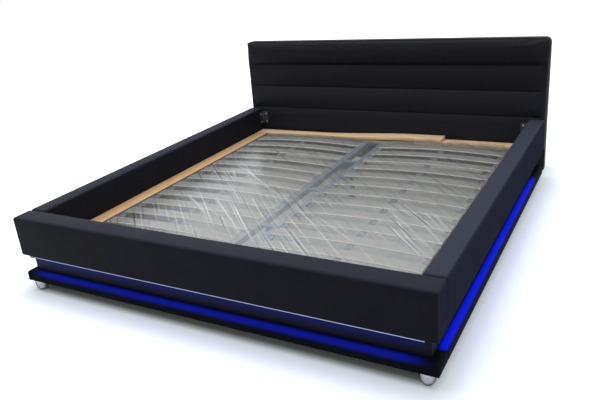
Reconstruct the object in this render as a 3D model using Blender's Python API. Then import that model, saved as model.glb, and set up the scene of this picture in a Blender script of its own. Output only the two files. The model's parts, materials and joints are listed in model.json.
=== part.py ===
# Upholstered platform bed with a lit plinth, a padded channelled headboard and a sprung slatted base.
# Metres, +Z up, the foot end towards -Y, the origin on the floor under the middle of the bed.

import bpy
import bmesh
import math
from mathutils import Matrix, Vector

# Space for the mattress, which sets the size of the bed
mattress_width = 1.800
mattress_length = 2.000
mattress_side_clearance = 0.028
mattress_length_clearance = 0.005

# Gaps between pieces that touch, and the dark joints between the upholstered units
seat_gap = 0.0003
unit_joint = 0.004
cut_overrun = 0.010

# Upholstered panels: foam and leather over a box of board
side_panel_thickness = 0.092
foot_panel_thickness = 0.104
panel_height = 0.196
padding = 0.014
board = 0.016
panel_top_radius = 0.013
panel_corner_radius = 0.006
side_corner_radius = 0.006
panel_bottom_radius = 0.006
board_corner_radius = 0.006
board_inner_radius = 0.003
tightest_corner = 0.002

# Recessed neck and projecting ledge of the plinth
leg_height = 0.055
ledge_height = 0.051
neck_height = 0.084
neck_setback = 0.036
plinth_depth = 0.220
ledge_edge_radius = 0.014
ledge_bottom_radius = 0.003
ledge_corner_radius = 0.004

# Light strips under the outer edge of the panels
strip_width = 0.011
strip_height = 0.0065
strip_edge_distance = 0.0015
strip_end_distance = 0.050
strip_head_stop = 0.240
strip_bevel = 0.0012

# Headboard: leaning channelled cushion on a board, with a cover behind
headboard_thickness = 0.090
headboard_height = 0.852
headboard_lean = 0.018
cushion_depth = 0.040
cushion_rim = 0.004
back_cover_wall = 0.006
back_cover_edge_radius = 0.005
headboard_top_radius = 0.030
headboard_bottom_radius = 0.010
channel_height = 0.153
channel_count = 3
channel_crown = 0.005
seam_depth = 0.010
cushion_side_radius = 0.014
cushion_top_radius = 0.030
cushion_bottom_radius = 0.006
seam_end_distance = 0.032
seam_fade = 0.014

# Bearers and pine battens that carry the slatted base
bearer_depth = 0.115
batten_width = 0.085
batten_height = 0.041
batten_play = 0.0015
plank_thickness = 0.0225
plank_width = 0.084
short_plank_width = 0.080
short_plank_length = 0.680
plank_overlap = 0.179
long_plank_flat = 0.480
long_plank_slew = 0.008
ledger_height = 0.018

# Slatted base
base_clearance = 0.003
angle_height = 0.0275
angle_width = 0.030
angle_wall = 0.003
beam_spacing = 0.106
beam_width = 0.028
beam_height = 0.030
beam_wall = 0.002
beam_rise = 0.004
beam_flange = 0.024
tie_width = 0.030
tie_height = 0.008
tie_spacing = 0.485
tie_count = 3
weld_overlap = 0.001
slat_width = 0.068
slat_thickness = 0.008
slat_crown = 0.013
slat_pitch = 0.1345
slat_head_margin = 0.072
slat_foot_margin = 0.045
slat_end_play = 0.005
strap_distance = 0.474
strap_width = 0.034
strap_thickness = 0.0015
staple_depth = 0.0005
film_thickness = 0.0003
film_skirt = 0.020
film_corner_radius = 0.002

# Centre legs of the slatted base
post_radius = 0.014
post_foot_radius = 0.025
post_foot_height = 0.008

# Corner brackets
bracket_leg = 0.045
bracket_height = 0.088
bracket_wall = 0.003
bracket_bottom = 0.272
bracket_screw_radius = 0.0055
bracket_screw_height = 0.0025
bracket_screw_inset = 0.016

# Chrome legs with levelling glides
leg_radius = 0.031
leg_base_radius = 0.022
leg_curve_height = 0.030
leg_inset = 0.050
foot_leg_inset = 0.033
side_leg_distance = 0.036
head_leg_distance = 0.040
glide_radius = 0.018
glide_height = 0.008
glide_edge_radius = 0.002
stem_radius = 0.005
stem_length = 0.026
stem_clearance = 0.0005
stem_end_clearance = 0.004

# Power unit of the lights
driver_length = 0.170
driver_width = 0.050
driver_height = 0.034
driver_bevel = 0.003
driver_head_distance = 0.300
inlet_width = 0.022
inlet_height = 0.013
inlet_depth = 0.016

# Facets
corner_steps = 3
edge_steps = 2
round_sides = 20
leg_steps = 4
channel_steps = 8
slat_steps = 8
plank_steps = 10
seam_shape_share = 0.55

# Worked-out sizes of the whole bed
inner_width = mattress_width + 2 * mattress_side_clearance
outer_width = inner_width + 2 * side_panel_thickness
inner_length = mattress_length + mattress_length_clearance
outer_length = foot_panel_thickness + inner_length + headboard_thickness
half_width = outer_width / 2
half_inner = inner_width / 2
foot_front = -outer_length / 2
foot_back = foot_front + foot_panel_thickness
head_front = foot_back + inner_length
head_back = head_front + headboard_thickness
side_front = foot_back + unit_joint
side_back = head_front - unit_joint
ledge_bottom = leg_height
ledge_top = ledge_bottom + ledge_height
neck_bottom = ledge_top + seat_gap
neck_top = neck_bottom + neck_height
panel_bottom = neck_top + seat_gap
panel_top = panel_bottom + panel_height
neck_half = half_width - neck_setback
plinth_inner = half_width - plinth_depth
base_bottom = neck_top + seat_gap
base_half = half_inner - batten_play - batten_width - base_clearance
base_foot = foot_back + batten_play + batten_width + base_clearance
base_head = head_front - batten_play - plank_width - 2 * long_plank_slew - base_clearance
angle_top = base_bottom + angle_height
slat_bottom = angle_top + seat_gap
slat_top = slat_bottom + slat_thickness
beam_outer = (beam_spacing + beam_width) / 2
beam_top = slat_bottom + beam_rise
beam_bottom = beam_top - beam_height
beam_foot = base_foot + angle_width + seat_gap
beam_head = base_head - angle_width - seat_gap


def clear_scene():
    for old in list(bpy.data.objects):
        bpy.data.objects.remove(old, do_unlink=True)


def make_material(name, colour, roughness, metallic, glow=0.0):
    material = bpy.data.materials.new(name)
    material.use_nodes = True
    shader = material.node_tree.nodes["Principled BSDF"]
    shader.inputs["Base Color"].default_value = (*colour, 1.0)
    shader.inputs["Roughness"].default_value = roughness
    shader.inputs["Metallic"].default_value = metallic
    shader.inputs["Emission Color"].default_value = (*colour, 1.0)
    shader.inputs["Emission Strength"].default_value = glow
    material.diffuse_color = (*colour, 1.0)
    return material


def add_object(name, bm, material, location=(0, 0, 0), smooth=False):
    bmesh.ops.recalc_face_normals(bm, faces=bm.faces[:])
    mesh = bpy.data.meshes.new(name)
    bm.to_mesh(mesh)
    bm.free()
    if smooth:
        mesh.shade_smooth()
        mesh.set_sharp_from_angle(angle=math.radians(40))
    mesh.materials.append(material)
    piece = bpy.data.objects.new(name, mesh)
    piece.location = location
    bpy.context.collection.objects.link(piece)
    return piece


def hide_tool(tool):
    tool.hide_render = True
    tool.display_type = "WIRE"


def combine(piece, tool, operation):
    hide_tool(tool)
    modifier = piece.modifiers.new(operation.title(), "BOOLEAN")
    modifier.operation = operation
    modifier.solver = "EXACT"
    modifier.object = tool


def box_into(bm, low, high):
    corners = bmesh.ops.create_cube(bm, size=1.0)["verts"]
    size = [b - a for a, b in zip(low, high)]
    middle = [(a + b) / 2 for a, b in zip(low, high)]
    bmesh.ops.scale(bm, verts=corners, vec=size)
    bmesh.ops.translate(bm, verts=corners, vec=middle)


def add_box(name, low, high, material, bevel=0.0):
    middle = [(a + b) / 2 for a, b in zip(low, high)]
    half = [(b - a) / 2 for a, b in zip(low, high)]
    bm = bmesh.new()
    box_into(bm, [-h for h in half], half)
    piece = add_object(name, bm, material, middle)
    if bevel:
        edge = piece.modifiers.new("Edges", "BEVEL")
        edge.width = bevel
        edge.segments = edge_steps
    return piece


def ring(half_x, half_y, radii, level, steps):
    # A rounded rectangle at one level, its corners counted from +X +Y anticlockwise.
    signs = ((1, 1), (-1, 1), (-1, -1), (1, -1))
    points = []
    for index, (sign_x, sign_y) in enumerate(signs):
        radius = radii[index]
        for step in range(steps + 1):
            angle = math.pi / 2 * (index + step / steps)
            x = sign_x * (half_x - radius) + radius * math.cos(angle)
            y = sign_y * (half_y - radius) + radius * math.sin(angle)
            points.append(Vector((x, y, level)))
    return points


def loft(rings):
    bm = bmesh.new()
    rows = [[bm.verts.new(point) for point in points] for points in rings]
    for low, high in zip(rows, rows[1:]):
        for index in range(len(low)):
            after = (index + 1) % len(low)
            bm.faces.new((low[index], low[after], high[after], high[index]))
    bm.faces.new(rows[0][::-1])
    bm.faces.new(rows[-1])
    return bm


def rounding(radius, steps):
    # Inset and rise of each step round a quarter circle, from the wall to the flat.
    for step in range(steps + 1):
        angle = math.pi / 2 * step / steps
        yield radius * (1 - math.cos(angle)), radius * math.sin(angle)


def edge_rings(half, radii, level, radius, direction, steps):
    # Rings that round an edge: direction 1 closes upwards, -1 closes downwards.
    rings = []
    for inset, rise in rounding(radius, steps):
        shrunk = [max(corner - inset, tightest_corner) for corner in radii]
        rings.append(ring(half[0] - inset, half[1] - inset, shrunk, level + direction * (rise - radius), corner_steps))
    return rings


def open_box(half, height, wall, outer_radii, inner_radii, top_radius, bottom_radius):
    # A box open at its underside, from the inner ceiling out round the rim and up to the outer top.
    low = -height / 2
    inner = [h - wall for h in half]
    rings = [ring(inner[0], inner[1], inner_radii, height / 2 - wall, corner_steps)]
    rings.append(ring(inner[0], inner[1], inner_radii, low, corner_steps))
    if bottom_radius:
        rings += edge_rings(half, outer_radii, low, bottom_radius, -1, edge_steps)[::-1]
    else:
        rings.append(ring(half[0], half[1], outer_radii, low, corner_steps))
    if top_radius:
        rings += edge_rings(half, outer_radii, height / 2, top_radius, 1, corner_steps)
    else:
        rings.append(ring(half[0], half[1], outer_radii, height / 2, corner_steps))
    return loft(rings)


def block_between(low, high):
    half = [(b - a) / 2 for a, b in zip(low, high)]
    middle = [(a + b) / 2 for a, b in zip(low, high)]
    return half, middle


def panel_cover(name, low, high, corner_radius, material):
    half, middle = block_between(low, high)
    inner = [board_corner_radius + seat_gap] * 4
    bm = open_box(half[:2], 2 * half[2], padding, [corner_radius] * 4, inner, panel_top_radius, panel_bottom_radius)
    return add_object(name, bm, material, middle, smooth=True)


def board_box(name, low, high, material):
    half, middle = block_between(low, high)
    outer = [board_corner_radius] * 4
    bm = open_box(half[:2], 2 * half[2], board, outer, [board_inner_radius] * 4, 0.0, 0.0)
    return add_object(name, bm, material, middle)


def padded_beam(name, low, high, corner_radius, material):
    half, middle = block_between(low, high)
    radii = [corner_radius] * 4
    rings = edge_rings(half, radii, -half[2], ledge_bottom_radius, -1, edge_steps)[::-1]
    rings += edge_rings(half, radii, half[2], ledge_edge_radius, 1, edge_steps)
    return add_object(name, loft(rings), material, middle, smooth=True)


def extruded(outline, length, along_y):
    # A closed outline drawn in X and Z, or in X and Y, drawn out along the third direction.
    bm = bmesh.new()
    if along_y:
        points = [(u, -length / 2, v) for u, v in outline]
        push = (0, length, 0)
    else:
        points = [(u, v, -length / 2) for u, v in outline]
        push = (0, 0, length)
    face = bm.faces.new([bm.verts.new(point) for point in points])
    moved = bmesh.ops.extrude_face_region(bm, geom=[face])["geom"]
    bmesh.ops.translate(bm, verts=[v for v in moved if isinstance(v, bmesh.types.BMVert)], vec=push)
    return bm


def turned(profile):
    # A profile of radius and height turned about the Z axis, closed at both ends on the axis.
    rings = []
    for radius, level in profile:
        angles = [2 * math.pi * side / round_sides for side in range(round_sides)]
        rings.append([Vector((radius * math.cos(a), radius * math.sin(a), level)) for a in angles])
    return loft(rings)


# Upholstered units

def low_unit(prefix, cover_low, cover_high, corner_radius, neck_low, neck_high, ledge_low, ledge_high, looks):
    panel_cover(f"{prefix}_panel_cover", (*cover_low, panel_bottom), (*cover_high, panel_top), corner_radius,
                looks["leather"])
    inset = padding + seat_gap
    core_low = (cover_low[0] + inset, cover_low[1] + inset, panel_bottom)
    core_high = (cover_high[0] - inset, cover_high[1] - inset, panel_top - inset)
    board_box(f"{prefix}_panel_box", core_low, core_high, looks["board"])
    board_box(f"{prefix}_neck", (*neck_low, neck_bottom), (*neck_high, neck_top), looks["neck"])
    padded_beam(f"{prefix}_ledge", (*ledge_low, ledge_bottom), (*ledge_high, ledge_top), ledge_corner_radius,
                looks["leather"])


def light_strip(name, low, high, looks):
    strip_top = neck_top
    add_box(name, (*low, strip_top - strip_height), (*high, strip_top), looks["light"], strip_bevel)


def foot_unit(looks):
    low_unit("foot",
             (-half_width, foot_front), (half_width, foot_back), panel_corner_radius,
             (-neck_half, foot_front + neck_setback), (neck_half, foot_back),
             (-half_width, foot_front), (half_width, foot_back), looks)
    strip_front = foot_front + strip_edge_distance
    reach = half_width - strip_end_distance
    light_strip("foot_light_strip", (-reach, strip_front), (reach, strip_front + strip_width), looks)


def side_unit(side, name, looks):
    outer = side * half_width
    inner = side * half_inner
    cover = sorted((outer, inner))
    neck = sorted((side * neck_half, side * plinth_inner))
    ledge = sorted((outer, side * plinth_inner))
    low_unit(name,
             (cover[0], side_front), (cover[1], side_back), side_corner_radius,
             (neck[0], side_front), (neck[1], side_back),
             (ledge[0], side_front), (ledge[1], side_back), looks)
    strip = sorted((outer - side * strip_edge_distance, outer - side * (strip_edge_distance + strip_width)))
    light_strip(f"{name}_light_strip", (strip[0], side_front), (strip[1], side_back - strip_head_stop), looks)


# Headboard

def cushion_stations():
    # Places across the width and up the height where the cushion's surface has a row of points.
    across = []
    for step in range(corner_steps + 1):
        angle = math.pi / 2 * step / corner_steps
        across.append(half_width - cushion_side_radius * (1 - math.sin(angle)))
    across.append(half_width - seam_end_distance)
    across.append(half_width - seam_end_distance - seam_fade)
    across.append(half_width - seam_end_distance - 2 * seam_fade)
    across = sorted(set(across))
    first_seam = headboard_height - channel_count * channel_height
    up = [panel_bottom + cushion_bottom_radius * (1 - math.cos(math.pi / 2 * step / edge_steps))
          for step in range(edge_steps + 1)]
    for channel in range(channel_count):
        start = first_seam + channel * channel_height
        last = channel == channel_count - 1
        count = channel_steps // 2 if last else channel_steps
        up += [start + channel_height * step / channel_steps for step in range(count)]
        if last:
            up.append(start + channel_height / 2)
    for step in range(corner_steps + 1):
        angle = math.pi / 2 * step / corner_steps
        up.append(headboard_height - cushion_top_radius * (1 - math.sin(angle)))
    return [-x for x in reversed(across)] + across, up


def quarter(distance, radius):
    # Share of the full thickness at a distance from an edge that is rounded off.
    if distance >= radius:
        return 1.0
    return math.sqrt(max(0.0, 1 - (1 - distance / radius) ** 2))


def cushion_thickness(x, z):
    first_seam = headboard_height - channel_count * channel_height
    lean_share = (z - panel_bottom) / (headboard_height - panel_bottom)
    thickness = cushion_depth - headboard_lean * lean_share
    relief = 0.0
    if z > first_seam - seat_gap:
        place = (z - first_seam) / channel_height
        top_channel = place >= channel_count - 1
        along = place - math.floor(place + seat_gap / channel_height)
        if top_channel:
            along = min(place - (channel_count - 1), 0.5)
        swell = max(0.0, math.sin(math.pi * max(0.0, along))) ** seam_shape_share
        relief = (seam_depth + channel_crown) * swell - seam_depth
    inside = half_width - seam_end_distance - abs(x)
    blend = min(1.0, max(0.0, inside / (2 * seam_fade)))
    thickness += relief * blend
    edge = quarter(half_width - abs(x), cushion_side_radius)
    edge *= quarter(headboard_height - z, cushion_top_radius)
    edge *= quarter(z - panel_bottom, cushion_bottom_radius)
    return cushion_rim + (thickness - cushion_rim) * edge


def headboard_cushion(looks):
    across, up = cushion_stations()
    bm = bmesh.new()
    front = [[bm.verts.new((x, -cushion_thickness(x, z), z)) for x in across] for z in up]
    for low, high in zip(front, front[1:]):
        for index in range(len(across) - 1):
            bm.faces.new((low[index], low[index + 1], high[index + 1], high[index]))
    border = front[0] + [row[-1] for row in front[1:-1]] + front[-1][::-1] + [row[0] for row in front[-2:0:-1]]
    back = [bm.verts.new((vert.co.x, 0, vert.co.z)) for vert in border]
    for index in range(len(border)):
        after = (index + 1) % len(border)
        bm.faces.new((border[index], back[index], back[after], border[after]))
    bm.faces.new(back)
    add_object("headboard_cushion", bm, looks["leather"], (0, head_front + cushion_depth, 0), smooth=True)


def headboard_board(looks):
    low = (-half_width + back_cover_wall + seat_gap, head_front + cushion_depth + seat_gap,
           ledge_bottom + back_cover_wall + seat_gap)
    high = (half_width - back_cover_wall - seat_gap, head_back - back_cover_wall - seat_gap,
            headboard_height - back_cover_wall - seat_gap)
    half, middle = block_between((low[0], low[2], low[1]), (high[0], high[2], high[1]))
    bottom = headboard_bottom_radius - back_cover_wall
    top = headboard_top_radius - back_cover_wall
    radii = [bottom, bottom, top, top]
    rings = [ring(half[0], half[1], radii, level, corner_steps) for level in (-half[2], half[2])]
    piece = add_object("headboard_board", loft(rings), looks["board"], (middle[0], middle[2], middle[1]))
    piece.rotation_euler = (-math.pi / 2, 0, 0)


def headboard_back_cover(looks):
    depth = headboard_thickness - cushion_depth - seat_gap
    height = headboard_height - ledge_bottom
    outer = [headboard_bottom_radius, headboard_bottom_radius, headboard_top_radius, headboard_top_radius]
    inner = [radius - back_cover_wall for radius in outer]
    bm = open_box((half_width, height / 2), depth, back_cover_wall, outer, inner, back_cover_edge_radius, 0.0)
    place = (0, head_back - depth / 2, ledge_bottom + height / 2)
    piece = add_object("headboard_back_cover", bm, looks["leather"], place, smooth=True)
    piece.rotation_euler = (-math.pi / 2, 0, 0)


# Bearers and battens

def bearers(looks):
    reach = plinth_inner - seat_gap
    board_box("foot_bearer", (-reach, foot_back + seat_gap, neck_bottom),
              (reach, foot_back + seat_gap + bearer_depth, neck_top), looks["neck"])
    head_face = head_front + cushion_depth
    board_box("head_bearer", (-reach, head_face - bearer_depth - cushion_depth, neck_bottom),
              (reach, head_face, neck_top), looks["neck"])


def battens(looks):
    low = base_bottom
    high = low + batten_height
    face = half_inner - batten_play
    foot_edge = foot_back + batten_play
    side_start = foot_edge + batten_width + seat_gap
    side_end = base_head + base_clearance
    add_box("foot_batten", (-face, foot_edge, low), (face, foot_edge + batten_width, high), looks["pine"])
    add_box("left_batten", (-face, side_start, low), (-face + batten_width, side_end, high), looks["pine"])
    add_box("right_batten", (face - batten_width, side_start, low), (face, side_end, high), looks["pine"])
    ledger_back = head_front - batten_play
    add_box("head_ledger", (-face, ledger_back - plank_width, low), (face, ledger_back, low + ledger_height),
            looks["pine"])
    short_low = low + ledger_height + seat_gap
    add_box("short_head_plank", (face - short_plank_length, ledger_back - short_plank_width, short_low),
            (face, ledger_back, short_low + plank_thickness), looks["pine"])
    long_head_plank(short_low, looks)


def long_head_plank(underside, looks):
    # Screwed down flat at its left end, then bent up onto the end of the short plank.
    start = -half_inner + batten_play
    rise = plank_thickness + seat_gap
    lands = half_inner - batten_play - short_plank_length
    bend = lands - start - long_plank_flat
    length = lands - start + plank_overlap
    bm = bmesh.new()
    rows = []
    stations = [0.0] + [long_plank_flat + bend * step / plank_steps for step in range(plank_steps + 1)]
    stations.append(length)
    for place in stations:
        share = min(1.0, max(0.0, (place - long_plank_flat) / bend))
        lift = rise * share * share * (3 - 2 * share)
        slew = long_plank_slew * (place / length * 2 - 1)
        near = slew - plank_width / 2
        far = slew + plank_width / 2
        section = [(near, lift), (far, lift), (far, lift + plank_thickness), (near, lift + plank_thickness)]
        rows.append([bm.verts.new((place, y, z)) for y, z in section])
    for low, high in zip(rows, rows[1:]):
        for index in range(4):
            after = (index + 1) % 4
            bm.faces.new((low[index], low[after], high[after], high[index]))
    bm.faces.new(rows[0])
    bm.faces.new(rows[-1])
    middle = head_front - batten_play - plank_width / 2 - long_plank_slew
    add_object("long_head_plank", bm, looks["pine"], (start, middle, underside))


# Slatted base

def angle_outline(side):
    # An inverted angle section: its flange points inwards at the top.
    outer = side * angle_width / 2
    inner = -outer
    wall = side * angle_wall
    high = angle_height / 2
    return [(outer, -high), (outer, high), (inner, high), (inner, high - angle_wall),
            (outer - wall, high - angle_wall), (outer - wall, -high)]


def base_angles(looks, lift):
    level = base_bottom + angle_height / 2
    length = base_head - base_foot
    for side, name in ((-1, "left"), (1, "right")):
        bm = extruded(angle_outline(side), length, True)
        place = (side * (base_half - angle_width / 2), (base_foot + base_head) / 2, level)
        parent(add_object(f"base_{name}_angle", bm, looks["steel"], place), lift)
    reach = 2 * (base_half - angle_width - seat_gap)
    for side, name, edge in ((-1, "foot", base_foot), (1, "head", base_head)):
        bm = extruded(angle_outline(side), reach, True)
        bmesh.ops.rotate(bm, verts=bm.verts[:], cent=(0, 0, 0), matrix=Matrix.Rotation(math.pi / 2, 3, "Z"))
        place = (0, edge - side * angle_width / 2, level)
        parent(add_object(f"base_{name}_angle", bm, looks["steel"], place), lift)


def beam_outline(side):
    # An inverted channel with a flange along its outer side, on which the slats end.
    outer = side * beam_outer
    inner = side * (beam_outer - beam_width)
    wall = side * beam_wall
    flange_top = angle_top
    flange_low = flange_top - angle_wall
    return [(inner, beam_bottom), (inner, beam_top), (outer, beam_top), (outer, flange_top),
            (outer + side * beam_flange, flange_top), (outer + side * beam_flange, flange_low),
            (outer, flange_low), (outer, beam_bottom), (outer - wall, beam_bottom),
            (outer - wall, beam_top - beam_wall), (inner + wall, beam_top - beam_wall), (inner + wall, beam_bottom)]


def tie_places():
    middle = (beam_foot + beam_head) / 2
    return [middle + tie_spacing * (index - (tie_count - 1) / 2) for index in range(tie_count)]


def centre_beam(looks, lift):
    length = beam_head - beam_foot
    middle = (beam_foot + beam_head) / 2
    beam = add_object("base_centre_beam", extruded(beam_outline(-1), length, True), looks["steel"], (0, middle, 0))
    twin = add_object("centre_beam_twin", extruded(beam_outline(1), length, True), looks["steel"], (0, middle, 0))
    bm = bmesh.new()
    reach = beam_outer - beam_width + weld_overlap
    high = beam_top - weld_overlap
    for place in tie_places():
        box_into(bm, (-reach, place - tie_width / 2, high - tie_height), (reach, place + tie_width / 2, high))
    ties = add_object("centre_beam_ties", bm, looks["steel"])
    combine(beam, ties, "UNION")
    combine(beam, twin, "UNION")
    parent(beam, lift)


def slat_count():
    room = base_head - base_foot - slat_head_margin - slat_foot_margin - slat_width
    return int(room / slat_pitch) + 1


def slat_column(side, name, looks, lift):
    # Sprung slats, arched over their length, stapled to one webbing strap.
    inner = beam_outer + slat_end_play
    outer = base_half - angle_wall - seat_gap
    half = (outer - inner) / 2
    middle = side * (outer + inner) / 2
    bm = bmesh.new()
    for index in range(slat_count()):
        far = base_head - slat_head_margin - index * slat_pitch
        near = far - slat_width
        rows = []
        for step in range(slat_steps + 1):
            share = 2 * step / slat_steps - 1
            rise = slat_crown * (1 - share * share)
            section = [(near, rise), (far, rise), (far, rise + slat_thickness), (near, rise + slat_thickness)]
            rows.append([bm.verts.new((half * share, y, z)) for y, z in section])
        for low, high in zip(rows, rows[1:]):
            for corner in range(4):
                after = (corner + 1) % 4
                bm.faces.new((low[corner], low[after], high[after], high[corner]))
        bm.faces.new(rows[0])
        bm.faces.new(rows[-1])
    slats = add_object(f"{name}_slats", bm, looks["slat"], (middle, 0, slat_bottom))
    strap_place = side * strap_distance - middle
    share = abs(strap_place) / half + strap_width / (2 * half)
    under = slat_crown * (1 - share * share)
    first = base_head - slat_head_margin
    last = first - (slat_count() - 1) * slat_pitch - slat_width
    trim = slat_width / 8
    strap_bm = bmesh.new()
    box_into(strap_bm, (strap_place - strap_width / 2, last + trim, under - strap_thickness),
             (strap_place + strap_width / 2, first - trim, under + staple_depth))
    strap = add_object(f"{name}_strap", strap_bm, looks["strap"], (middle, 0, slat_bottom))
    combine(slats, strap, "UNION")
    parent(slats, lift)


def base_film(looks, lift):
    # Thin clear film over the slats, turned down round the edge of the base.
    half = (base_half + seat_gap + film_thickness, (base_head - base_foot) / 2 + seat_gap + film_thickness)
    top = slat_top + slat_crown + seat_gap + film_thickness
    height = film_skirt + film_thickness
    radii = [film_corner_radius] * 4
    inner = [film_corner_radius - film_thickness] * 4
    bm = open_box(half, height, film_thickness, radii, inner, 0.0, 0.0)
    place = (0, (base_foot + base_head) / 2, top - height / 2)
    parent(add_object("slat_base_film", bm, looks["film"], place), lift)


def centre_legs(looks, lift):
    top = beam_top - weld_overlap - tie_height - seat_gap
    foot = tie_places()[0]
    head = tie_places()[-1]
    for name, place in (("foot", foot), ("head", head)):
        profile = [(post_foot_radius, 0.0), (post_foot_radius, post_foot_height), (post_radius, post_foot_height),
                   (post_radius, top)]
        bm = turned(profile)
        parent(add_object(f"centre_leg_{name}_end", bm, looks["steel"], (0, place, 0), smooth=True), lift)


def parent(piece, holder):
    # The piece keeps its place: its location is rewritten from the holder's origin.
    piece.location = Vector(piece.location) - Vector(holder.location)
    piece.parent = holder


# Fittings

def corner_bracket(name, side, end, wall_face, looks):
    # An angle plate in an inner corner, its corner at the origin of the piece.
    x_out = side * (bracket_leg + seat_gap)
    y_out = end * (bracket_leg + seat_gap)
    x_in = side * seat_gap
    y_in = end * seat_gap
    x_wall = side * (seat_gap + bracket_wall)
    y_wall = end * (seat_gap + bracket_wall)
    outline = [(x_in, y_in), (x_out, y_in), (x_out, y_wall), (x_wall, y_wall), (x_wall, y_out), (x_in, y_out)]
    middle = bracket_bottom + bracket_height / 2
    place = (-side * half_inner, wall_face, middle)
    plate = add_object(name, extruded(outline, bracket_height, False), looks["zinc"], place)
    reach = bracket_screw_height + weld_overlap
    centre = seat_gap + bracket_wall - weld_overlap + reach / 2
    across = bracket_leg - bracket_screw_inset
    bm = bmesh.new()
    for level in (-1, 1):
        height = level * (bracket_height / 2 - bracket_screw_inset)
        screw_into(bm, (side * across, end * centre, height), "Y", reach)
        screw_into(bm, (side * centre, end * across, height), "X", reach)
    heads = add_object(f"{name}_screws", bm, looks["zinc"], place)
    combine(plate, heads, "UNION")


def screw_into(bm, place, axis, height):
    made = bmesh.ops.create_cone(bm, cap_ends=True, segments=round_sides // 2, radius1=bracket_screw_radius,
                                 radius2=bracket_screw_radius, depth=height)["verts"]
    turn_axis = "Y" if axis == "X" else "X"
    bmesh.ops.rotate(bm, verts=made, cent=(0, 0, 0), matrix=Matrix.Rotation(math.pi / 2, 3, turn_axis))
    bmesh.ops.translate(bm, verts=made, vec=place)


def leg_with_glide(name, x, y, looks):
    top = ledge_bottom - seat_gap
    low = glide_height + seat_gap
    bore = stem_radius + stem_clearance
    bore_top = glide_height + stem_length + stem_end_clearance
    profile = [(bore, bore_top), (bore, low)]
    for step in range(leg_steps + 1):
        angle = math.pi / 2 * step / leg_steps
        radius = leg_base_radius + (leg_radius - leg_base_radius) * math.sin(angle)
        profile.append((radius, low + leg_curve_height * (1 - math.cos(angle))))
    profile.append((leg_radius, top))
    add_object(f"{name}_leg", turned(profile), looks["chrome"], (x, y, 0), smooth=True)
    holder = bpy.data.objects.new(f"{name}_glide_axis", None)
    holder.location = (x, y, 0)
    bpy.context.collection.objects.link(holder)
    profile = [(glide_radius, 0.0), (glide_radius, glide_height - glide_edge_radius),
               (glide_radius - glide_edge_radius, glide_height), (stem_radius, glide_height),
               (stem_radius, glide_height + stem_length)]
    parent(add_object(f"{name}_glide", turned(profile), looks["glide"], (x, y, 0), smooth=True), holder)


def legs(looks):
    inset = half_width - leg_inset
    places = {"foot": foot_front + foot_leg_inset,
              "side_front": side_front + side_leg_distance,
              "side_back": side_back - side_leg_distance,
              "head": head_back - head_leg_distance}
    for end, place in places.items():
        for side, name in ((-1, "left"), (1, "right")):
            leg_with_glide(f"{end}_{name}", side * inset, place, looks)


def light_driver(looks):
    # The power unit, screwed to the inner face of the right neck, with its inlet at the foot end.
    face = plinth_inner - seat_gap
    head_end = head_front - driver_head_distance
    middle_z = (neck_bottom + neck_top) / 2
    low = (face - driver_width, head_end - driver_length, middle_z - driver_height / 2)
    high = (face, head_end, middle_z + driver_height / 2)
    driver = add_box("light_driver", low, high, looks["plastic"], driver_bevel)
    bm = bmesh.new()
    middle_x = face - driver_width / 2
    box_into(bm, (middle_x - inlet_width / 2, low[1] - cut_overrun, middle_z - inlet_height / 2),
             (middle_x + inlet_width / 2, low[1] + inlet_depth, middle_z + inlet_height / 2))
    combine(driver, add_object("inlet_cutter", bm, looks["plastic"]), "DIFFERENCE")


def build():
    clear_scene()
    looks = {
        "leather": make_material("black_leather", (0.014, 0.015, 0.018), 0.42, 0.0),
        "neck": make_material("neck_leather", (0.012, 0.012, 0.016), 0.48, 0.0),
        "board": make_material("chipboard", (0.48, 0.36, 0.22), 0.85, 0.0),
        "light": make_material("light_strip", (0.25, 0.35, 1.0), 0.40, 0.0, 4.0),
        "pine": make_material("pine", (0.60, 0.41, 0.22), 0.70, 0.0),
        "slat": make_material("slat_birch", (0.62, 0.58, 0.50), 0.50, 0.0),
        "strap": make_material("webbing", (0.35, 0.40, 0.46), 0.85, 0.0),
        "steel": make_material("grey_steel", (0.30, 0.36, 0.43), 0.45, 0.6),
        "film": make_material("clear_film", (0.85, 0.87, 0.88), 0.15, 0.0),
        "zinc": make_material("zinc_plate", (0.45, 0.45, 0.46), 0.40, 0.9),
        "chrome": make_material("chrome", (0.80, 0.80, 0.82), 0.12, 1.0),
        "plastic": make_material("black_plastic", (0.02, 0.02, 0.02), 0.55, 0.0),
        "glide": make_material("grey_plastic", (0.35, 0.35, 0.34), 0.50, 0.0),
    }
    foot_unit(looks)
    side_unit(-1, "left", looks)
    side_unit(1, "right", looks)
    headboard_cushion(looks)
    headboard_board(looks)
    headboard_back_cover(looks)
    bearers(looks)
    battens(looks)
    lift = bpy.data.objects.new("slat_base_lift", None)
    lift.location = (0, (base_foot + base_head) / 2, base_bottom)
    bpy.context.collection.objects.link(lift)
    base_angles(looks, lift)
    centre_beam(looks, lift)
    slat_column(-1, "left", looks, lift)
    slat_column(1, "right", looks, lift)
    base_film(looks, lift)
    centre_legs(looks, lift)
    corner_bracket("foot_left_bracket", 1, 1, foot_back, looks)
    corner_bracket("foot_right_bracket", -1, 1, foot_back, looks)
    corner_bracket("head_left_bracket", 1, -1, head_front, looks)
    corner_bracket("head_right_bracket", -1, -1, head_front, looks)
    legs(looks)
    light_driver(looks)


build()
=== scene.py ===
# Looks of the upholstered platform bed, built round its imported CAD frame. Metres, +Z up.
import bmesh
import bpy
import json
import math
import random
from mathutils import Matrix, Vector, noise

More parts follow.
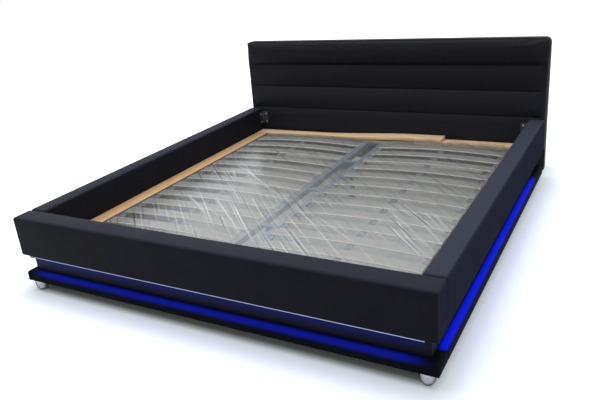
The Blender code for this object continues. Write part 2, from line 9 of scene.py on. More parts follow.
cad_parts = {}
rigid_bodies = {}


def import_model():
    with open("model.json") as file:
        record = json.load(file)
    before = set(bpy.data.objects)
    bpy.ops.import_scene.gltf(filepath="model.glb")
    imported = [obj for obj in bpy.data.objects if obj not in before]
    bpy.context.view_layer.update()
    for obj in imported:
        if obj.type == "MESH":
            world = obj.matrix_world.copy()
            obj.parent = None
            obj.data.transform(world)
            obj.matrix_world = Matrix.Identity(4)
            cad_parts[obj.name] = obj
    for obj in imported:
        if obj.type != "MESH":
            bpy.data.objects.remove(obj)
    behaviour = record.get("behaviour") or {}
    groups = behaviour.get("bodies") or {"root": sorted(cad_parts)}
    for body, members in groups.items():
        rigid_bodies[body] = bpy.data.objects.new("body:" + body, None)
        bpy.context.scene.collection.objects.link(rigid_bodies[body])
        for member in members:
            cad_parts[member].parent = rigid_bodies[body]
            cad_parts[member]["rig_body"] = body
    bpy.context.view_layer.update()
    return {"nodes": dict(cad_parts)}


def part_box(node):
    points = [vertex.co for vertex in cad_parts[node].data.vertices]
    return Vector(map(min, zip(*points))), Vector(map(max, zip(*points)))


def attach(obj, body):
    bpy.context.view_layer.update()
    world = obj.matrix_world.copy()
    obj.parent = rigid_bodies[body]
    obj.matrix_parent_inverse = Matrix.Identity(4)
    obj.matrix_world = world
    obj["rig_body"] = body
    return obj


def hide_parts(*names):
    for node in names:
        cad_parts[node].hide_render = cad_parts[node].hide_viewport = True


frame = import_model()
cadNodes = frame["nodes"]
scene = bpy.context.scene
print("stage: frame loaded,", len(cadNodes), "nodes")


# Node helpers

def feed(tree, node, inputs):
    # Links the values that are sockets and sets the others.
    for name, value in inputs.items():
        if isinstance(value, bpy.types.NodeSocket):
            tree.links.new(value, node.inputs[name])
        else:
            node.inputs[name].default_value = value


def addNode(tree, kind, inputs=None, **settings):
    node = tree.nodes.new(kind)
    for name, value in settings.items():
        setattr(node, name, value)
    feed(tree, node, inputs or {})
    return node


def newGroup(name, inputs, outputs):
    tree = bpy.data.node_groups.new(name, "ShaderNodeTree")
    for inOut, sockets in (("INPUT", inputs), ("OUTPUT", outputs)):
        for label, kind in sockets:
            tree.interface.new_socket(label, in_out=inOut, socket_type=kind)
    return tree, tree.nodes.new("NodeGroupInput").outputs, tree.nodes.new("NodeGroupOutput")


def fillGroup(tree, group, inputs):
    return addNode(tree, "ShaderNodeGroup", inputs, node_tree=group).outputs


def addMath(tree, operation, first, second=0.0, third=0.0):
    return addNode(tree, "ShaderNodeMath", {0: first, 1: second, 2: third}, operation=operation).outputs[0]


def multiplied(tree, first, *others):
    for other in others:
        first = addMath(tree, "MULTIPLY", first, other)
    return first


def mapRange(tree, value, low, high, toLow=0.0, toHigh=1.0, curve="LINEAR"):
    node = addNode(tree, "ShaderNodeMapRange", {"Value": value, "From Min": low, "From Max": high,
                                                "To Min": toLow, "To Max": toHigh}, interpolation_type=curve)
    return node.outputs["Result"]


def fadeBetween(tree, value, none, full, least=0.0):
    # The least up to one value, 1 from another on, smooth between them.
    return mapRange(tree, value, none, full, least, 1.0, "SMOOTHSTEP")


def splitAxes(tree, vector):
    return addNode(tree, "ShaderNodeSeparateXYZ", {"Vector": vector}).outputs


def mapped(tree, vector, **change):
    return addNode(tree, "ShaderNodeMapping", {"Vector": vector, **change}).outputs["Vector"]


def noiseAt(tree, vector, scale, detail, roughness=0.5, distortion=0.0):
    return addNode(tree, "ShaderNodeTexNoise", {"Vector": vector, "Scale": scale, "Detail": detail,
                                                "Roughness": roughness, "Distortion": distortion}).outputs["Fac"]


def facingAway(tree):
    return addNode(tree, "ShaderNodeLayerWeight", {"Blend": 0.5}).outputs["Facing"]


def blendColours(tree, share, first, second):
    node = addNode(tree, "ShaderNodeMix", data_type="RGBA")
    sockets = [s for s in node.inputs if s.enabled]
    for socket, value in zip(sockets, (share, first, second)):
        if isinstance(value, bpy.types.NodeSocket):
            tree.links.new(value, socket)
        else:
            socket.default_value = (*value, 1.0) if socket.type == "RGBA" else value
    return next(s for s in node.outputs if s.enabled)


def stained(tree, mask, most, colour, stain):
    # A colour with another over it where the mask is, at most that much of it.
    return blendColours(tree, mapRange(tree, mask, 0.0, 1.0, 0.0, most), colour, stain)


def toned(colour, factor):
    return [min(1.0, c * factor) for c in colour]


def bumped(tree, height, distance):
    node = addNode(tree, "ShaderNodeBump", {"Height": height, "Distance": distance, "Strength": 1.0})
    return node.outputs["Normal"]


def newMaterial(name):
    material = bpy.data.materials.new(name)
    material.use_nodes = True
    tree = material.node_tree
    coordinates = tree.nodes.new("ShaderNodeTexCoord").outputs["Object"]
    return material, tree, tree.nodes["Principled BSDF"], coordinates


# Shared effects, each one node group

grainLook = {"randomness": 0.9, "creaseWidth": 0.22, "pebbleHeight": 0.7, "unevenScale": 90.0, "patchScale": 7.0}
figureLook = {"ringStretch": (0.35, 3.0, 3.0), "ringWarp": 5.0, "fibreStretch": (4.0, 160.0, 160.0),
              "fibreScale": 4.0}
smudgeLook = {"detail": 5.0, "roughness": 0.65, "distortion": 0.4, "range": (0.42, 0.68)}


def hideGrainGroup():
    # Pebbled grain of coated leather, with broad patches where the hide is a little more polished.
    tree, given, put = newGroup("hideGrain", [("Vector", "NodeSocketVector"), ("Cells", "NodeSocketFloat")],
                                [("Height", "NodeSocketFloat"), ("Patches", "NodeSocketFloat")])
    cells = addNode(tree, "ShaderNodeTexVoronoi", {
        "Vector": given["Vector"], "Scale": given["Cells"], "Randomness": grainLook["randomness"],
    }, feature="DISTANCE_TO_EDGE")
    pebble = mapRange(tree, cells.outputs["Distance"], 0.0, grainLook["creaseWidth"])
    uneven = noiseAt(tree, given["Vector"], grainLook["unevenScale"], 3.0)
    feed(tree, put, {"Height": addMath(tree, "MULTIPLY_ADD", pebble, grainLook["pebbleHeight"], uneven),
                     "Patches": noiseAt(tree, given["Vector"], grainLook["patchScale"], 4.0, 0.6)})
    return tree


def woodFigureGroup():
    # Growth rings and fibres that run along the first axis of the vector.
    tree, given, put = newGroup("woodFigure", [("Vector", "NodeSocketVector"), ("Rings", "NodeSocketFloat")],
                                [("Rings", "NodeSocketFloat"), ("Fibres", "NodeSocketFloat")])
    stretched = mapped(tree, given["Vector"], Scale=figureLook["ringStretch"])
    warp = noiseAt(tree, stretched, figureLook["ringWarp"], 2.0)
    wave = addMath(tree, "SINE", multiplied(tree, warp, given["Rings"], 2 * math.pi))
    fine = mapped(tree, given["Vector"], Scale=figureLook["fibreStretch"])
    feed(tree, put, {"Rings": mapRange(tree, wave, -1.0, 1.0),
                     "Fibres": noiseAt(tree, fine, figureLook["fibreScale"], 3.0)})
    return tree


def handlingGroup():
    # Scattered smudges and dust, as a mask.
    tree, given, put = newGroup("handling", [("Vector", "NodeSocketVector"), ("Size", "NodeSocketFloat")],
                                [("Mask", "NodeSocketFloat")])
    smudges = noiseAt(tree, given["Vector"], given["Size"], smudgeLook["detail"], smudgeLook["roughness"],
                      smudgeLook["distortion"])
    feed(tree, put, {"Mask": mapRange(tree, smudges, *smudgeLook["range"])})
    return tree


hideGrain = hideGrainGroup()
woodFigure = woodFigureGroup()
handling = handlingGroup()


def smudgeMask(tree, coordinates, size):
    return fillGroup(tree, handling, {"Vector": coordinates, "Size": size})["Mask"]


# Finishes

hideLook = {
    "cells": 520.0,            # pebbles per metre
    "bumpDepth": 0.00022,
    "smudgeSize": 3.5,
    "polish": 0.07,            # how much smoother the handled places are
    "topHeight": 0.3866,       # of the panels' flat tops
    "topFade": (0.012, 0.002),      # below it, where the painted top light starts and where it is full
}


def leatherFinish(name, colour, worn, roughness, level, cells=hideLook["cells"], tops=None, low=None):
    material, tree, shader, coordinates = newMaterial(name)
    grain = fillGroup(tree, hideGrain, {"Vector": coordinates, "Cells": cells})
    mask = smudgeMask(tree, coordinates, hideLook["smudgeSize"])
    base = blendColours(tree, grain["Patches"], colour, worn)
    if tops or low:
        height = splitAxes(tree, coordinates)["Z"]
    if tops:
        # Painted light: the flat tops are made paler, as if lit from above.
        start, full = [hideLook["topHeight"] - below for below in hideLook["topFade"]]
        base = blendColours(tree, fadeBetween(tree, height, start, full), base, tops)
    if low:
        # Hide that is paler towards the bottom: where that starts, where it is full, and its colour.
        start, full, paler = low
        base = blendColours(tree, fadeBetween(tree, height, start, full), base, paler)
    feed(tree, shader, {"Base Color": base, "Specular IOR Level": level,
                        "Roughness": mapRange(tree, mask, 0.0, 1.0, roughness, roughness - hideLook["polish"]),
                        "Normal": bumped(tree, grain["Height"], hideLook["bumpDepth"])})
    return material


# Light of the strips, painted on the hide as emission, so that the hide itself glows blue beside them. Pairs run from
# where it is dark, or dim, to where it is full, as heights or as distances in from the outer face of the foot unit or
# of a side unit.
stripGlow = {
    "halfWidth": 1.02,         # outer face of the side units
    "front": -1.0995,          # outer face of the foot unit
    "footUnit": (0.1055, 0.1045),
    "sideEnd": (0.82, 0.68),   # along the bed, where the side strips stop
    "ledgeFoot": {"colour": (0.0012, 0.0045, 0.235), "depth": (0.034, 0.007), "dim": 0.04, "height": (0.082, 0.101),
                  "corner": (0.02, 0.14)},
    "ledgeSide": {"colour": (0.0022, 0.0085, 0.60), "depth": (0.040, 0.020), "dim": 0.12, "height": (0.084, 0.100),
                  "lip": (0.001, 0.0075), "lipDim": 0.16},
    "neckFoot": {"colour": (0.0012, 0.0060, 0.27), "depth": (0.042, 0.037), "corner": (0.03, 0.12)},
    "neckSide": {"colour": (0.003, 0.009, 0.26), "depth": (0.060, 0.038)},
    "neckHeight": (0.112, 0.190),
    "neckFall": 2.1,           # power by which it falls off down the neck
}


def ledgeShares(tree, aside, ahead, height, inFoot):
    # Strongest along the top outer edge of the ledge.
    foot, side = stripGlow["ledgeFoot"], stripGlow["ledgeSide"]
    footShare = multiplied(tree, inFoot, fadeBetween(tree, ahead, *foot["depth"], foot["dim"]),
                           fadeBetween(tree, height, *foot["height"]), fadeBetween(tree, aside, *foot["corner"]))
    sideShare = multiplied(tree, fadeBetween(tree, aside, *side["depth"], side["dim"]),
                           fadeBetween(tree, aside, *side["lip"], side["lipDim"]),
                           fadeBetween(tree, height, *side["height"]))
    return footShare, sideShare


def neckShares(tree, aside, ahead, height, inFoot):
    # Fading down the neck.
    foot, side = stripGlow["neckFoot"], stripGlow["neckSide"]
    fall = addMath(tree, "POWER", mapRange(tree, height, *stripGlow["neckHeight"]), stripGlow["neckFall"])
    footShare = multiplied(tree, fall, fadeBetween(tree, ahead, *foot["depth"]),
                           fadeBetween(tree, aside, *foot["corner"]))
    return footShare, multiplied(tree, fall, fadeBetween(tree, aside, *side["depth"]))


def addStripLight(material, shares, footColour, sideColour):
    tree = material.node_tree
    axes = splitAxes(tree, tree.nodes.new("ShaderNodeTexCoord").outputs["Object"])
    aside = addMath(tree, "SUBTRACT", stripGlow["halfWidth"], addMath(tree, "ABSOLUTE", axes["X"]))
    ahead = addMath(tree, "SUBTRACT", axes["Y"], stripGlow["front"])
    inFoot = mapRange(tree, ahead, *stripGlow["footUnit"])
    footShare, sideShare = shares(tree, aside, ahead, axes["Z"], inFoot)
    sideShare = multiplied(tree, sideShare, fadeBetween(tree, axes["Y"], *stripGlow["sideEnd"]),
                           addMath(tree, "SUBTRACT", 1.0, inFoot))
    footLight = blendColours(tree, footShare, (0.0, 0.0, 0.0), footColour)
    feed(tree, tree.nodes["Principled BSDF"], {"Emission Color": blendColours(tree, sideShare, footLight, sideColour),
                                               "Emission Strength": 1.0})


woodLook = {
    "ringShow": 0.6,
    "fibres": (0.35, 0.75),    # the noise from which, and at which, a fibre shows
    "fibreShow": 0.35,
    "fibreTone": 0.62,
    "grime": (0.30, 0.22, 0.15),
    "grimeSize": 6.0,
    "grimeShow": 0.12,
    "level": 0.35,
    "roughnessSpan": (-0.06, 0.1),
    "bumpDepth": 0.0002,
}


def woodFinish(name, early, late, alongX, rings=9.0, roughness=0.55):
    look = woodLook
    material, tree, shader, coordinates = newMaterial(name)
    turned = mapped(tree, coordinates, Rotation=(0.0, 0.0, 0.0 if alongX else math.pi / 2))
    figure = fillGroup(tree, woodFigure, {"Vector": turned, "Rings": rings})
    ringed = stained(tree, figure["Rings"], look["ringShow"], early, late)
    fibres = mapRange(tree, figure["Fibres"], *look["fibres"], 0.0, look["fibreShow"])
    fibrous = blendColours(tree, fibres, ringed, toned(late, look["fibreTone"]))
    smudges = smudgeMask(tree, coordinates, look["grimeSize"])
    smooth, rough = [roughness + change for change in look["roughnessSpan"]]
    feed(tree, shader, {"Base Color": stained(tree, smudges, look["grimeShow"], fibrous, look["grime"]),
                        "Specular IOR Level": look["level"],
                        "Roughness": mapRange(tree, figure["Fibres"], 0.0, 1.0, smooth, rough),
                        "Normal": bumped(tree, figure["Fibres"], look["bumpDepth"])})
    return material


chipLook = {"chips": 260.0, "flakes": 900.0, "speckRange": (0.5, 0.8), "speckShow": 0.5, "roughness": 0.85,
            "bumpDepth": 0.0003}


def chipboardFinish(name, pale, deep, specks):
    material, tree, shader, coordinates = newMaterial(name)
    chips = addNode(tree, "ShaderNodeTexVoronoi", {"Vector": coordinates, "Scale": chipLook["chips"]})
    flakes = noiseAt(tree, coordinates, chipLook["flakes"], 2.0)
    tone = blendColours(tree, chips.outputs["Color"], deep, pale)
    shown = mapRange(tree, flakes, *chipLook["speckRange"], 0.0, chipLook["speckShow"])
    feed(tree, shader, {"Base Color": blendColours(tree, shown, tone, specks), "Roughness": chipLook["roughness"],
                        "Normal": bumped(tree, flakes, chipLook["bumpDepth"])})
    return material


# Hard surfaces: their fine texture, as a noise stretched by scale, and the smudges on them
paintedSteel = {"scale": (700.0, 700.0, 700.0), "detail": 2.0, "bumpDepth": 0.00006, "smudgeSize": 9.0,
                "smudges": 0.35, "smudgeTone": 0.72, "rougher": 0.12}
zinc = {"scale": (300.0, 300.0, 40.0), "detail": 3.0, "bumpDepth": 0.00004, "smudgeSize": 30.0,
        "smudges": 0.3, "smudgeTone": 0.8, "rougher": 0.08, "metallic": 1.0}
chrome = {**zinc, "scale": (20.0, 20.0, 900.0), "bumpDepth": 0.000004, "turnedAway": (0.30, 0.72)}
plastic = {"scale": (1400.0, 1400.0, 1400.0), "detail": 1.0, "bumpDepth": 0.00005, "smudgeSize": 20.0,
           "smudges": 0.4, "smudgeTone": 1.6}


def hardFinish(name, look, colour, roughness, level=0.5):
    material, tree, shader, coordinates = newMaterial(name)
    texture = noiseAt(tree, mapped(tree, coordinates, Scale=look["scale"]), 1.0, look["detail"])
    mask = smudgeMask(tree, coordinates, look["smudgeSize"])
    if "rougher" in look:
        roughness = mapRange(tree, mask, 0.0, 1.0, roughness, roughness + look["rougher"])
    feed(tree, shader, {"Base Color": stained(tree, mask, look["smudges"], colour, toned(colour, look["smudgeTone"])),
                        "Roughness": roughness, "Metallic": look.get("metallic", 0.0), "Specular IOR Level": level,
                        "Normal": bumped(tree, texture, look["bumpDepth"])})
    return material


def paintedRimReflection(material, centre, rim):
    # Painted reflection: the base colour is pale where the plate faces the viewer, as if it mirrored the white room,
    # and dark where it turns away, as if it mirrored the dark bed.
    tree = material.node_tree
    turnedAway = fadeBetween(tree, facingAway(tree), *chrome["turnedAway"])
    feed(tree, tree.nodes["Principled BSDF"], {"Base Color": blendColours(tree, turnedAway, centre, rim)})


coverLook = {"lamps": 38.0, "between": 0.8, "over": 1.25, "roughness": 0.4}


def lightStripFinish(name, colour, glow):
    # Milky cover of the light strip, brighter over each lamp behind it.
    material, tree, shader, coordinates = newMaterial(name)
    lamps = noiseAt(tree, coordinates, coverLook["lamps"], 1.0)
    lit = blendColours(tree, lamps, toned(glow, coverLook["between"]), toned(glow, coverLook["over"]))
    feed(tree, shader, {"Base Color": (*colour, 1.0), "Emission Color": lit, "Emission Strength": 1.0,
                        "Roughness": coverLook["roughness"]})
    return material


webbing = {"threads": {"Y": 190.0, "X": 320.0}, "deep": (0.090, 0.110, 0.140), "pale": (0.160, 0.190, 0.235),
           "roughness": 0.8, "bumpDepth": 0.0003}


def webbingFinish():
    material, tree, shader, coordinates = newMaterial("strapWebbing")
    weave = multiplied(tree, *[addNode(tree, "ShaderNodeTexWave", {"Vector": coordinates, "Scale": scale},
                                       bands_direction=axis).outputs["Fac"]
                               for axis, scale in webbing["threads"].items()])
    feed(tree, shader, {"Base Color": blendColours(tree, weave, webbing["deep"], webbing["pale"]),
                        "Roughness": webbing["roughness"], "Normal": bumped(tree, weave, webbing["bumpDepth"])})
    return material


filmLook = {
    "tint": (0.71, 0.740, 0.765),
    "bright": (1.0, 1.0, 1.0),
    "dark": (0.16, 0.165, 0.17),
    "clearest": 0.15,          # alpha where the film is looked at squarely
    "grazing": 0.50,           # alpha where it is looked at along its surface
    "turned": (0.25, 0.95),    # how far it turns away at the first and at the second
    "metallic": 0.72,
    "roughness": 0.27,
    "streakAngle": 45.0,       # degrees that the noise is turned by, so that streaks run with the creases
    "streakSpacing": 85.0,
    "streakBreaks": (3.0, 0.4),     # along a streak, and across it as a share of the spacing
    "streakWander": 0.020,
    "wanderScale": 2.2,
    "lightStreaks": (0.54, 0.68),   # the noise from which, and at which, a streak shows
    "darkStreaks": (0.46, 0.34),
    "unbroken": (0.42, 0.62),
    "streakAlpha": 0.42,
    "creaseAlpha": 0.52,
    "bumpDepth": 0.0002,
}


def filmFinish(look):
    # Clear packing film: mostly seen through, glossy, with fine light and dark streaks in the fans of creases, painted
    # as highlights in white and shade in dark grey.
    # Its attribute filmMarks holds, per point: ridge of a long crease, flank beside it, strength of the streaks.
    # Ridges take the painted highlight, flanks the painted shade.
    material, tree, shader, coordinates = newMaterial("clearFilm")
    marks = splitAxes(tree, addNode(tree, "ShaderNodeAttribute", attribute_name="filmMarks").outputs["Vector"])
    turned = mapped(tree, coordinates, Rotation=(0.0, 0.0, math.radians(look["streakAngle"])))
    across = addMath(tree, "MULTIPLY_ADD", noiseAt(tree, turned, look["wanderScale"], 0.0), look["streakWander"],
                     splitAxes(tree, turned)["Y"])
    lines = addNode(tree, "ShaderNodeTexNoise", {"W": multiplied(tree, across, look["streakSpacing"]), "Scale": 1.0,
                                                 "Detail": 1.0}, noise_dimensions="1D").outputs["Fac"]
    breaksAlong, breaksAcross = look["streakBreaks"]
    broken = mapped(tree, turned, Scale=(breaksAlong, look["streakSpacing"] * breaksAcross, 4.0))
    shown = multiplied(tree, mapRange(tree, noiseAt(tree, broken, 1.0, 0.0), *look["unbroken"]), marks["Z"])
    light = multiplied(tree, mapRange(tree, lines, *look["lightStreaks"]), shown)
    dark = multiplied(tree, mapRange(tree, lines, *look["darkStreaks"]), shown)
    alpha = mapRange(tree, facingAway(tree), *look["turned"], look["clearest"], look["grazing"])
    for share, most in ((light, "streakAlpha"), (dark, "streakAlpha"), (marks["X"], "creaseAlpha"),
                        (marks["Y"], "creaseAlpha")):
        alpha = addMath(tree, "MULTIPLY_ADD", share, look[most], alpha)
    # Painted highlight: light streaks and crease ridges go white. Painted shade: dark streaks and flanks go dark grey.
    lighter = blendColours(tree, addMath(tree, "MAXIMUM", light, marks["X"]), look["tint"], look["bright"])
    streaked = blendColours(tree, addMath(tree, "MAXIMUM", dark, marks["Y"]), lighter, look["dark"])
    feed(tree, shader, {"Base Color": streaked, "Alpha": alpha, "Metallic": look["metallic"],
                        "Roughness": look["roughness"], "Normal": bumped(tree, lines, look["bumpDepth"])})
    return material


panelTones = ((0.0082, 0.0084, 0.0125), (0.0130, 0.0134, 0.0190))
panelHide = leatherFinish("panelLeather", *panelTones, 0.60, 0.05, tops=(0.0225, 0.0250, 0.0370))
# Painted light: the outer side faces get a paler, bluer copy of the panel leather without gloss, for how brightly they
# show at a glancing view.
outerHide = leatherFinish("outerLeather", (0.0290, 0.0315, 0.0540), (0.0370, 0.0400, 0.0660), 0.75, 0.0,
                          tops=(0.0330, 0.0365, 0.0560))
# Painted light: the right rail has its own copy of the panel leather, its tops paler than the others, as if lit more.
rightHide = leatherFinish("rightRailLeather", *panelTones, 0.60, 0.05, tops=(0.0375, 0.0430, 0.0630))
headHide = leatherFinish("headboardLeather", (0.0058, 0.0060, 0.0094), (0.0090, 0.0094, 0.0142), 0.54, 0.09,
                         low=(0.66, 0.50, (0.0120, 0.0125, 0.0180)))
ledgeHide = leatherFinish("ledgeLeather", (0.0050, 0.0054, 0.0085), (0.0078, 0.0084, 0.0122), 0.70, 0.02)
neckHide = leatherFinish("neckLeather", (0.0055, 0.0060, 0.0095), (0.0088, 0.0093, 0.0132), 0.54, 0.10)
bearerHide = leatherFinish("bearerLeather", (0.0060, 0.0062, 0.0075), (0.0095, 0.010, 0.0115), 0.58, 0.14)
backHide = leatherFinish("backLeather", (0.010, 0.0105, 0.012), (0.015, 0.016, 0.018), 0.58, 0.18, 380.0)
# Painted light: the strips' blue glow is emission in the ledge and neck leather.
addStripLight(ledgeHide, ledgeShares, stripGlow["ledgeFoot"]["colour"], stripGlow["ledgeSide"]["colour"])
addStripLight(neckHide, neckShares, stripGlow["neckFoot"]["colour"], stripGlow["neckSide"]["colour"])
pineAlongX = woodFinish("pinePlank", (0.90, 0.66, 0.41), (0.72, 0.49, 0.27), True)
pineAlongY = woodFinish("pineBatten", (0.70, 0.47, 0.25), (0.54, 0.32, 0.155), False)
# Painted shade: a dark copy of the pine for the battens' inner sides, which lie in shadow.
paintedShadePine = woodFinish("paintedShadePine", (0.17, 0.14, 0.11), (0.12, 0.095, 0.075), False, roughness=0.8)
slatWood = woodFinish("slatVeneer", (0.30, 0.295, 0.272), (0.235, 0.23, 0.215), True, 5.0, 0.42)
# Pale wood on the slats' sides and the bevels along them: partly the bare edge of the ply, partly a painted highlight
# along it.
slatEdge = woodFinish("slatEdge", (0.97, 0.95, 0.80), (0.90, 0.87, 0.72), True, 5.0, 0.50)
boardChips = chipboardFinish("chipboard", (0.60, 0.46, 0.30), (0.42, 0.30, 0.18), (0.25, 0.17, 0.10))
stainedChips = chipboardFinish("stainedBoard", (0.022, 0.021, 0.020), (0.014, 0.013, 0.012), (0.008, 0.008, 0.008))
angleSteel = hardFinish("angleSteel", paintedSteel, (0.10, 0.115, 0.13), 0.40)
greySteel = hardFinish("greySteel", paintedSteel, (0.15, 0.19, 0.24), 0.38)
dullPlate = hardFinish("dullPlate", paintedSteel, (0.020, 0.021, 0.024), 0.55)
zincPlate = hardFinish("zincPlate", zinc, (0.42, 0.43, 0.46), 0.30)
chromePlate = hardFinish("chromePlate", chrome, (0.60, 0.60, 0.61), 0.10)
paintedRimReflection(chromePlate, (0.50, 0.50, 0.49), (0.035, 0.037, 0.040))
blackPlastic = hardFinish("blackPlastic", plastic, (0.022, 0.022, 0.024), 0.5)
channelPlastic = hardFinish("channelPlastic", plastic, (0.006, 0.006, 0.009), 0.8, 0.0)
glidePlastic = hardFinish("glidePlastic", plastic, (0.20, 0.20, 0.19), 0.5)
stripCover = lightStripFinish("stripCover", (0.30, 0.34, 0.5), (0.20, 0.235, 0.45))
underStripCover = lightStripFinish("underStripCover", (0.10, 0.14, 0.5), (0.012, 0.035, 0.80))
strapWebbing = webbingFinish()
clearFilm = filmFinish(filmLook)
print("stage: finishes made")


# Making and placing pieces

def meshFrom(bm, name):
    mesh = bpy.data.meshes.new(name)
    bm.to_mesh(mesh)
    bm.free()
    return mesh


def addObject(name, data):
    made = bpy.data.objects.new(name, data)
    scene.collection.objects.link(made)
    return made


def evaluatedMesh(carrier):
    return bpy.data.meshes.new_from_object(carrier.evaluated_get(bpy.context.evaluated_depsgraph_get()))


def placePiece(name, source, material, body, replaced=(), sharp=None):
    mesh = meshFrom(source, name) if isinstance(source, bmesh.types.BMesh) else source
    mesh.name = name
    piece = addObject(name, mesh)
    mesh.materials.clear()
    mesh.materials.append(material)
    mesh.polygons.foreach_set("use_smooth", [True] * len(mesh.polygons))
    if sharp:
        mesh.set_sharp_from_angle(angle=math.radians(sharp))
    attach(piece, body)
    if replaced:
        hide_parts(*replaced)
    return piece


def secondMaterial(piece, material, chosen):
    # A second material on the faces that chosen picks by centre and normal.
    piece.data.materials.append(material)
    for polygon in piece.data.polygons:
        if chosen(polygon.center, polygon.normal):
            polygon.material_index = 1


def mergedCopy(nodeName):
    # The CAD node's triangles, joined up and with flat areas cleared.
    bm = bmesh.new()
    bm.from_mesh(cadNodes[nodeName].data)
    bmesh.ops.remove_doubles(bm, verts=bm.verts[:], dist=0.00002)
    bmesh.ops.dissolve_limit(bm, angle_limit=math.radians(0.8), verts=bm.verts[:], edges=bm.edges[:])
    return bm


def bevelSharp(bm, width, segments, angle=30.0):
    edges = [e for e in bm.edges if e.is_manifold and e.calc_face_angle() > math.radians(angle)]
    bmesh.ops.bevel(bm, geom=edges, offset=width, offset_type="OFFSET", segments=segments, profile=0.5,
                    affect="EDGES", clamp_overlap=True, material=-1)


def cutAcross(bm, axis, start, end, step):
    # Loops at even steps along one axis, so that a long face can bend.
    count = max(1, round((end - start) / step))
    normal = Vector([1.0 if i == axis else 0.0 for i in range(3)])
    for index in range(1, count):
        place = normal * (start + (end - start) * index / count)
        bmesh.ops.bisect_plane(bm, geom=bm.verts[:] + bm.edges[:] + bm.faces[:], plane_co=place, plane_no=normal)


def extruded(points, shift):
    # A solid from a flat outline and the way it is drawn out.
    bm = bmesh.new()
    face = bm.faces.new([bm.verts.new(point) for point in points])
    drawn = bmesh.ops.extrude_face_region(bm, geom=[face])["geom"]
    bmesh.ops.translate(bm, verts=[g for g in drawn if isinstance(g, bmesh.types.BMVert)], vec=shift)
    bmesh.ops.recalc_face_normals(bm, faces=bm.faces[:])
    return bm


def spun(profile, centre, steps=48):
    # A turned piece from its outline, given as radius and height.
    bm = bmesh.new()
    line = [bm.verts.new((radius, 0.0, height)) for radius, height in profile]
    edges = [bm.edges.new(pair) for pair in zip(line, line[1:])]
    bmesh.ops.spin(bm, geom=line + edges, cent=(0, 0, 0), axis=(0, 0, 1), angle=2 * math.pi, steps=steps,
                   use_merge=True)
    bmesh.ops.remove_doubles(bm, verts=bm.verts[:], dist=0.000005)
    bmesh.ops.recalc_face_normals(bm, faces=bm.faces[:])
    bmesh.ops.translate(bm, verts=bm.verts[:], vec=centre)
    return bm


def smoothstep(low, high, value):
    share = min(1.0, max(0.0, (value - low) / (high - low)))
    return share * share * (3 - 2 * share)


# Padded pieces

def remeshed(bm, voxel):
    carrier = addObject("remeshing", meshFrom(bm, "remeshing"))
    modifier = carrier.modifiers.new("Remesh", "REMESH")
    modifier.mode = "VOXEL"
    modifier.voxel_size = voxel
    mesh = evaluatedMesh(carrier)
    bpy.data.objects.remove(carrier)
    return mesh


def gridded(nodeName, step):
    # The CAD node's own surface cut into even squares, so that its edges stay exactly where they are.
    low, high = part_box(nodeName)
    bm = mergedCopy(nodeName)
    for axis in range(3):
        cutAcross(bm, axis, low[axis], high[axis], step)
    bmesh.ops.triangulate(bm, faces=[f for f in bm.faces if len(f.verts) > 4])
    return meshFrom(bm, nodeName)


def inflate(mesh, held, pad):
    # Foam pressing the hide outwards: cloth under pressure, held where the hide is fixed, its motion capped.
    normals = [n.vector.copy() for n in mesh.vertex_normals]
    for vertex, normal, fixed in zip(mesh.vertices, normals, held):
        if not fixed:
            vertex.co = vertex.co - normal * pad["shrink"]
    carrier = addObject("inflating", mesh)
    group = carrier.vertex_groups.new(name="held")
    group.add([i for i, fixed in enumerate(held) if fixed], 1.0, "REPLACE")
    modifier = carrier.modifiers.new("Cloth", "CLOTH")
    cloth = modifier.settings
    cloth.use_pressure = True
    cloth.uniform_pressure_force = pad["pressure"]
    cloth.effector_weights.gravity = 0.0
    cloth.quality = 4
    cloth.tension_stiffness = cloth.compression_stiffness = pad["stiffness"]
    cloth.vertex_group_mass = "held"
    modifier.collision_settings.use_collision = False
    modifier.point_cache.frame_start = 1
    modifier.point_cache.frame_end = pad["frames"]
    for step in range(1, pad["frames"] + 1):
        scene.frame_set(step)
    moved = evaluatedMesh(carrier)
    for vertex, after in zip(mesh.vertices, moved.vertices):
        shift = after.co - vertex.co
        if shift.length > pad["cap"]:
            shift *= pad["cap"] / shift.length
        vertex.co = vertex.co + shift
    carrier.modifiers.clear()
    bpy.data.objects.remove(carrier)
    bpy.data.meshes.remove(moved)
    scene.frame_set(1)


def ripple(mesh, held, pad, seed):
    # Slow unevenness of hide stretched over foam.
    size = pad["rippleSize"]
    offset = Vector((seed * 3.7, seed * 1.3, seed * 2.1))
    normals = [n.vector.copy() for n in mesh.vertex_normals]
    for vertex, normal, fixed in zip(mesh.vertices, normals, held):
        if not fixed:
            spot = Vector((vertex.co.x / size, vertex.co.y / size, vertex.co.z / (size * 0.7))) + offset
            vertex.co = vertex.co + normal * (noise.noise(spot) * pad["ripple"])


heldRim = 0.004                # height of the strip along an edge where hide is stapled on

panelPad = {"step": 0.014, "shrink": 0.001, "pressure": 4.0, "stiffness": 12.0, "cap": 0.0032, "frames": 10,
            "ripple": 0.0009, "rippleSize": 0.13,
            "liner": 0.0095,       # thickness of the cover, inside which it lies on the board
            "edge": 0.015,         # width along each edge where it keeps its place
            "outerFace": 1.012}    # from the middle to where only outer faces are


